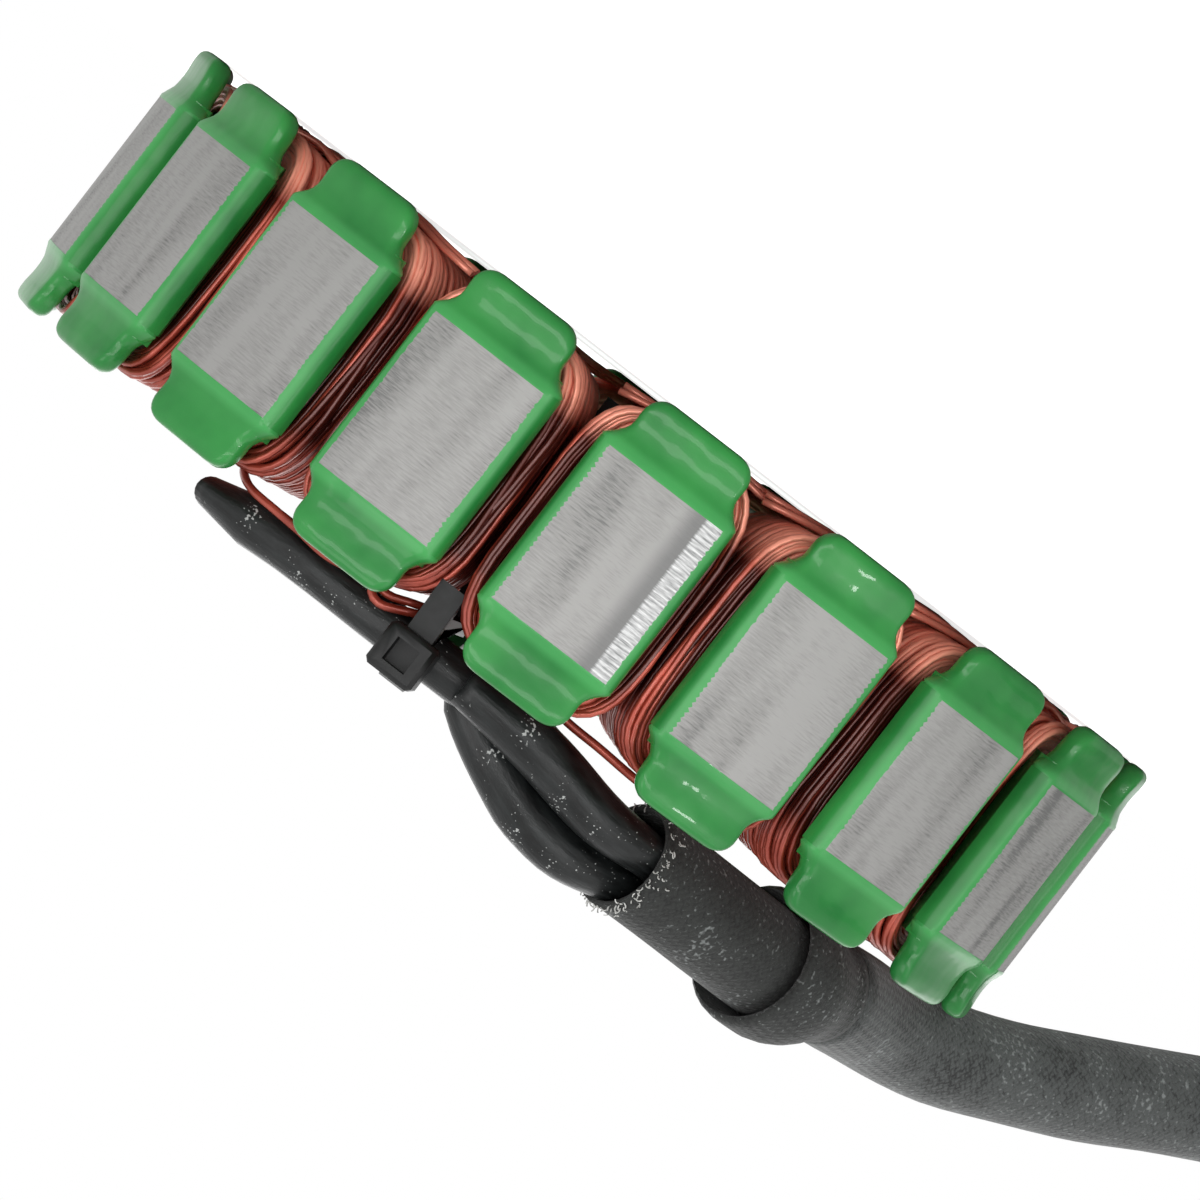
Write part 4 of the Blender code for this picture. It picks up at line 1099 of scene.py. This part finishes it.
neutral_points = smooth_route(NEUTRAL_ROUTE, 1.0 * MM)
pressed = [0.55 + 0.4 * min(1.0, i / 5) for i in range(len(neutral_points))]
swollen = [NEUTRAL_RADIUS * (1.12 - 0.12 * min(1.0, i / 9)) for i in range(len(neutral_points))]
swollen[-2:] = [2.15 * MM, 2.0 * MM]
place_piece("neutral_tube", tube_mesh("neutral_tube", neutral_points, swollen, 20, pressed),
            varnish_finish, "varnished_tube", "neutral_sleeve")
for index, lead in enumerate(lead_routes()):
    fat = [LEAD_DIAMETER / 2 * lead_swell(i / (len(lead) - 1)) for i in range(len(lead))]
    lead.append(lead[-1] + (lead[-1] - lead[-2]).normalized() * 4 * MM)
    fat.append(LEAD_DIAMETER / 2)
    place_piece(f"lead_tube_{index + 1}", tube_mesh(f"lead_tube_{index + 1}", lead, fat, 28),
                varnish_finish, "varnished_tube", f"lead_sleeve_{index + 1}")
print("sleeves: neutral", round(length_of(neutral_points) / MM, 1), "mm and three leads")

# %% [markdown]
# The inner braided sleeve gathers the leads. Its mouth is cut, so white glass fibres stand
# out of it. Behind it the outer sleeve is folded back on itself into a thick cuff.

# %% Loom and cuff
LOOM_ROUTE = route([
    (-16.6, -36.9, 31.6), (-21.8, -33.6, 31.7), (-26.6, -29.9, 31.9), (-31.0, -25.7, 32.1),
])
CUFF_ROUTE = route([(-31.0, -25.7, 32.1), (-35.0, -21.7, 32.1), (-38.4, -16.4, 31.4)])
LOOM_RADIUS = 4.75 * MM
CUFF_RADIUS = 6.35 * MM
CUFF_END_RADIUS = 4.78 * MM
RIM_DROP = 0.55 * MM
FIBRES = 180


def uncapped(tube, mouth, reach):
    """The tube for further work, without the caps that lie nearer to the mouth than the reach."""
    body = bmesh.new()
    body.from_mesh(tube)
    caps = [face for face in body.faces if len(face.verts) > 4
            and (face.calc_center_median() - mouth).length < reach]
    bmesh.ops.delete(body, geom=caps, context="FACES_ONLY")
    return body


def open_tube(name, points, radii, inner_radius, depth, flare=0.0, sides=32):
    """A tube whose first end is a pocket: its wall is walked back from its depth to its mouth."""
    mouth, heading = points[0], (points[1] - points[0]).normalized()
    count = 8
    walk = [mouth + heading * depth * (1 - i / count) for i in range(count)]
    widths = [inner_radius + flare * (i / count) ** 3 for i in range(count + 1)]
    inner = tube_mesh(name + "_inner", walk + [mouth + heading * 0.15 * MM], widths, sides)
    wall = uncapped(tube_mesh(name + "_outer", points, radii, sides), mouth, 0.01 * MM)
    lining = uncapped(inner, mouth, 0.5 * MM)
    bmesh.ops.reverse_faces(lining, faces=lining.faces)
    wall.from_mesh(mesh_of(lining, name + "_lining"))
    bmesh.ops.bridge_loops(wall, edges=[edge for edge in wall.edges if edge.is_boundary])
    return mesh_of(wall, name)


def make_fibre_tree():
    """Short bent hairs on the given points, each with its own lean and length."""
    tree, given = new_tree("frayed_fibres", ("Length", "NodeSocketFloat", 1.0 * MM),
                           ("Thickness", "NodeSocketFloat", 0.1 * MM), ("Seed", "NodeSocketInt", 0),
                           ("Finish", "NodeSocketMaterial", None))
    tip = add(tree, "CombineXYZ", {"X": given["Length"], "Z": given["Length"]})
    knee = add(tree, "CombineXYZ", {"Z": given["Length"]})
    hair = add(tree, "GeometryNodeCurveQuadraticBezier", {"Resolution": 4, "Middle": knee,
            "End": tip})
    hair.inputs["Start"].default_value = (0.0, 0.0, 0.0)
    lean = add(tree, "FunctionNodeRandomValue", {"Min": (-1.2, -1.2, 0.0), "Max": (1.2, 1.2, 6.28),
            "Seed": given["Seed"]}, data_type="FLOAT_VECTOR")
    size = add(tree, "FunctionNodeRandomValue", {2: 0.3, 3: 1.2, "Seed": given["Seed"]},
            data_type="FLOAT")
    spread = add(tree, "GeometryNodeInstanceOnPoints", {"Points": given["Geometry"],
            "Instance": hair, "Rotation": lean, "Scale": size})
    real = add(tree, "GeometryNodeRealizeInstances", {0: spread})
    end_tree(tree, wires_on(tree, real, given["Thickness"], 4), given["Finish"])
    return tree


def rim_points(mouth, heading, radius, count, seed):
    """Points in clumps round a mouth, and a few down the sleeve behind it."""
    chance = np.random.default_rng(seed)
    side = heading.cross(UP).normalized()
    lift = side.cross(heading)
    places = []
    for number in range(count):
        turn = math.tau * (number // 6) / (count // 6) + 0.25 * chance.standard_normal()
        back = abs(chance.standard_normal()) * 0.9 * MM
        places.append(mouth + heading * back
                      + (side * math.cos(turn) + lift * math.sin(turn)) * radius)
    mesh = bpy.data.meshes.new("rim_points")
    mesh.vertices.add(count)
    mesh.vertices.foreach_set("co", [c for place in places for c in place])
    return mesh


loom_points = smooth_route(LOOM_ROUTE, 1.2 * MM)
loom_points.append(loom_points[-1] + (loom_points[-1] - loom_points[-2]).normalized() * 6.5 * MM)
loom_radii = [LOOM_RADIUS] * len(loom_points)
sleeve_mesh = open_tube("inner_braid", loom_points, loom_radii, LOOM_RADIUS - 0.5 * MM, 4.6 * MM)
sleeve_mesh.materials.append(inner_braid_finish)
loom_heading = (loom_points[1] - loom_points[0]).normalized()
hairs = grown("hairs", rim_points(loom_points[0], loom_heading, LOOM_RADIUS, FIBRES, 7),
              make_fibre_tree(), Length=0.42 * MM, Thickness=0.12 * MM, Seed=3, Finish=fibre_finish)
place_piece("inner_braid", joined("inner_braid", sleeve_mesh, hairs), inner_braid_finish,
            "woven_sleeve", "loom_sleeve")
cuff_points = smooth_route(CUFF_ROUTE, 0.7 * MM)
cuff_radii = []
for index in range(len(cuff_points)):
    along = index / (len(cuff_points) - 1)
    rim = math.sqrt(1 - (1 - min(1.0, along / 0.12)) ** 2)
    narrow = eased(ramp_share(along, 0.3, 0.9))
    cuff_radii.append(CUFF_RADIUS - RIM_DROP * (1 - rim) - (CUFF_RADIUS - CUFF_END_RADIUS) * narrow)
place_piece("folded_cuff", open_tube("folded_cuff", cuff_points, cuff_radii, 5.05 * MM, 7.5 * MM,
                                     flare=0.85 * MM),
            inner_braid_finish, "woven_sleeve", "loom_cuff")
print("loom and cuff:", [round(length_of(p) / MM, 1) for p in (loom_points, cuff_points)], "mm")

# %% [markdown]
# The connector is a moulded box, open in front for its three blades. Its long edges are
# rounded, and grooves round its rear give a grip. The boot behind it is ribbed, so that it
# bends with the cable.

# %% Connector and boot
CONNECTOR_SIZE = (30.0 * MM, 21.0 * MM, 11.0 * MM)
CAVITY_DEPTH = 13.0 * MM
CONNECTOR_WALL = 1.5 * MM
FRONT_BAND = 0.35 * MM
GROOVE = 0.5 * MM
GROOVES = 5
BOOT_LENGTH = 9.0 * MM
BOOT_STEPS = 40
OUT_TURN = COIL_START + math.tau * COIL_TURNS + math.pi / 2


def ring_of_box(body, along, width, height, corner):
    """One rounded rectangle across the connector's axis."""
    ring = []
    for step in range(32):
        turn = math.tau * (step + 0.5) / 32
        y = math.copysign(width / 2 - corner, math.cos(turn)) + corner * math.cos(turn)
        z = math.copysign(height / 2 - corner, math.sin(turn)) + corner * math.sin(turn)
        ring.append(body.verts.new((along, y, z)))
    return ring


def housing_mesh():
    """Rings from the rear, over the grooves, to the open front and back down its cavity."""
    length, width, height = CONNECTOR_SIZE
    profile = [(0.0, 0.9 * MM), (0.25 * MM, 0.3 * MM), (0.9 * MM, 0.0)]
    for number in range(GROOVES):
        start = (2.4 + 2.2 * number) * MM
        profile += [(start, 0.0), (start + 0.15 * MM, GROOVE), (start + 0.9 * MM, GROOVE),
                    (start + 1.05 * MM, 0.0)]
    profile += [(length - 4.0 * MM, 0.0), (length - 3.8 * MM, FRONT_BAND),
                (length - 0.3 * MM, FRONT_BAND), (length, 0.65 * MM),
                (length, CONNECTOR_WALL - 0.25 * MM), (length - 0.25 * MM, CONNECTOR_WALL),
                (length - CAVITY_DEPTH, CONNECTOR_WALL)]
    body, rings = bmesh.new(), []
    for along, inset in profile:
        corner = max(1.6 * MM - inset, 0.3 * MM)
        rings.append(ring_of_box(body, along, width - 2 * inset, height - 2 * inset, corner))
    skin_rings(body, rings)
    return welded(mesh_of(body, "plug_housing"))


def boot_mesh():
    """A ribbed cone, wide where it meets the housing."""
    shares = [i / BOOT_STEPS for i in range(BOOT_STEPS + 1)]
    points = [Vector(((BOOT_LENGTH + 0.35 * MM) * share, 0.0, 0.0)) for share in shares]
    radii = []
    for share in reversed(shares):
        rib = 0.55 + 0.45 * abs(math.cos(4 * math.pi * share))
        radii.append(CORD_DIAMETER / 2 + 0.8 * MM * (1 - share) * rib)
    return tube_mesh("ribbed_boot", points, radii, 32)


leave = on_coil(math.tau * COIL_TURNS, CONNECTOR_AXIS_Z) + polar(CORD_TAIL, OUT_TURN)
plug_frame = Matrix.Translation(leave) @ Matrix.Rotation(OUT_TURN, 4, "Z")
housing = housing_mesh()
housing.transform(plug_frame @ Matrix.Translation((BOOT_LENGTH + 0.3 * MM, 0.0, 0.0)))
place_piece("plug_housing", housing, nylon_finish, "black_nylon", "connector_housing")
boot = boot_mesh()
boot.transform(plug_frame)
place_piece("ribbed_boot", boot, rubber_finish, "boot_rubber", "cable_boot")
print("connector at", in_mm(leave), "mm")

# %% [markdown]
# The nylon tie is the CAD piece itself, with the small round edges that moulded nylon has.
# Its strap goes round the yoke and the neutral tube, through the slot beside the first pole.

# %% Cable tie
TIE_ROUNDING = 0.22 * MM


def rounded_copy(node, rounding):
    """The CAD piece's own mesh with its sharp edges rounded."""
    body = bmesh.new()
    body.from_mesh(node.data)
    body.transform(node.matrix_world)
    bmesh.ops.remove_doubles(body, verts=body.verts, dist=0.001 * MM)
    bmesh.ops.dissolve_limit(body, angle_limit=math.radians(2.0), verts=body.verts,
                             edges=body.edges)
    sharp = [edge for edge in body.edges if len(edge.link_faces) == 2
             and edge.calc_face_angle() > math.radians(50.0)]
    bmesh.ops.bevel(body, geom=sharp, offset=rounding, segments=3, profile=0.5, affect="EDGES",
                    clamp_overlap=True)
    return welded(mesh_of(body, "rounded"), 40.0)


tie_mesh = rounded_copy(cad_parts["cable_tie"], TIE_ROUNDING)
place_piece("strap_tie", tie_mesh, nylon_finish, "black_nylon", "cable_tie")
print("tie:", len(tie_mesh.polygons), "faces")

# %% [markdown]
# Rivets and terminals are plain round and flat pieces, so the CAD solids stay and only get
# their finishes.

# %% Finishes of the CAD pieces that stay
KEPT = {f"rivet_{i}": rivet_finish for i in range(1, 7)}
KEPT.update({f"terminal_{i}": blade_finish for i in range(1, 4)})
for name, material in KEPT.items():
    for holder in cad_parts[name].material_slots:
        holder.material = material
print("kept CAD pieces:", len(KEPT))

# %% [markdown]
# The stage is a white table and plain studio light. A white environment and soft lamps on
# all sides light the stator evenly, and one small lamp puts the short glints on the coat and
# the wires. The camera, and shiny surfaces, see plain white behind everything, while the
# table still takes a soft shadow.

# %% Table, world and lamps
LAMPS = {  # place, size, watts
    "key_softbox": ((0.45, -0.75, 0.55), (0.5, 0.5), 1.8),
    "fill_softbox": ((-0.7, -0.6, 0.35), (0.6, 0.6), 1.0),
    "low_softbox": ((0.1, -0.75, 0.055), (1.2, 0.1), 2.2),
    "glint_lamp": ((-0.55, -0.6, 0.06), (0.05, 0.05), 0.35),
    "back_softbox": ((-0.35, 0.85, 0.4), (1.0, 0.7), 2.6),
}


def make_table():
    """A large matt white top that looks a little brighter to the camera than it is lit."""
    body = bmesh.new()
    bmesh.ops.create_grid(body, x_segments=1, y_segments=1, size=3.0)
    mesh = mesh_of(body, "table_top")
    material = bpy.data.materials.new("white_table")
    material.use_nodes = True
    tree = material.node_tree
    tree.nodes.clear()
    matt = add(tree, "BsdfDiffuse", {"Color": (0.9, 0.9, 0.9, 1.0)})
    glow = add(tree, "Emission", {"Color": (1.0, 1.0, 1.0, 1.0), "Strength": 0.78})
    seen = add(tree, "LightPath")
    none = add(tree, "Emission", {"Strength": 0.0})
    pick = add(tree, "MixShader", {0: seen.outputs["Is Camera Ray"], 1: none, 2: glow})
    both = add(tree, "AddShader", {0: matt, 1: pick})
    add(tree, "OutputMaterial", {"Surface": both})
    mesh.materials.append(material)
    in_scene("table_top", mesh)


def make_world():
    """White to the camera and in mirrors, softer where it lights the stator."""
    world = bpy.data.worlds.new("studio")
    world.use_nodes = True
    tree = world.node_tree
    tree.nodes.clear()
    seen = add(tree, "LightPath")
    mirrored = add(tree, "Math", {0: seen.outputs["Is Glossy Ray"],
            1: seen.outputs["Is Transmission Ray"]}, operation="MAXIMUM")
    plain = add(tree, "Math", {0: seen.outputs["Is Camera Ray"], 1: mirrored}, operation="MAXIMUM")
    strength = add(tree, "MapRange", {"Value": plain, "To Min": 0.6, "To Max": 1.0})
    light = add(tree, "Background", {"Color": (1.0, 1.0, 1.0, 1.0), "Strength": strength})
    add(tree, "OutputWorld", {"Surface": light})
    bpy.context.scene.world = world


def add_lamp(name, place, size, watts):
    """A rectangle of light that looks at the middle of the stator."""
    light = bpy.data.lights.new(name, "AREA")
    light.shape = "RECTANGLE"
    light.size, light.size_y = size
    light.energy = watts
    lamp = in_scene(name, light)
    lamp.location = place
    lamp.rotation_mode = "QUATERNION"
    lamp.rotation_quaternion = (Vector(place) - UP * MID_Z).to_track_quat("Z", "Y")


make_table()
make_world()
for name, (place, size, watts) in LAMPS.items():
    add_lamp(name, place, size, watts)
bpy.context.scene.view_settings.view_transform = "Standard"
print("table, world and lamps in place")
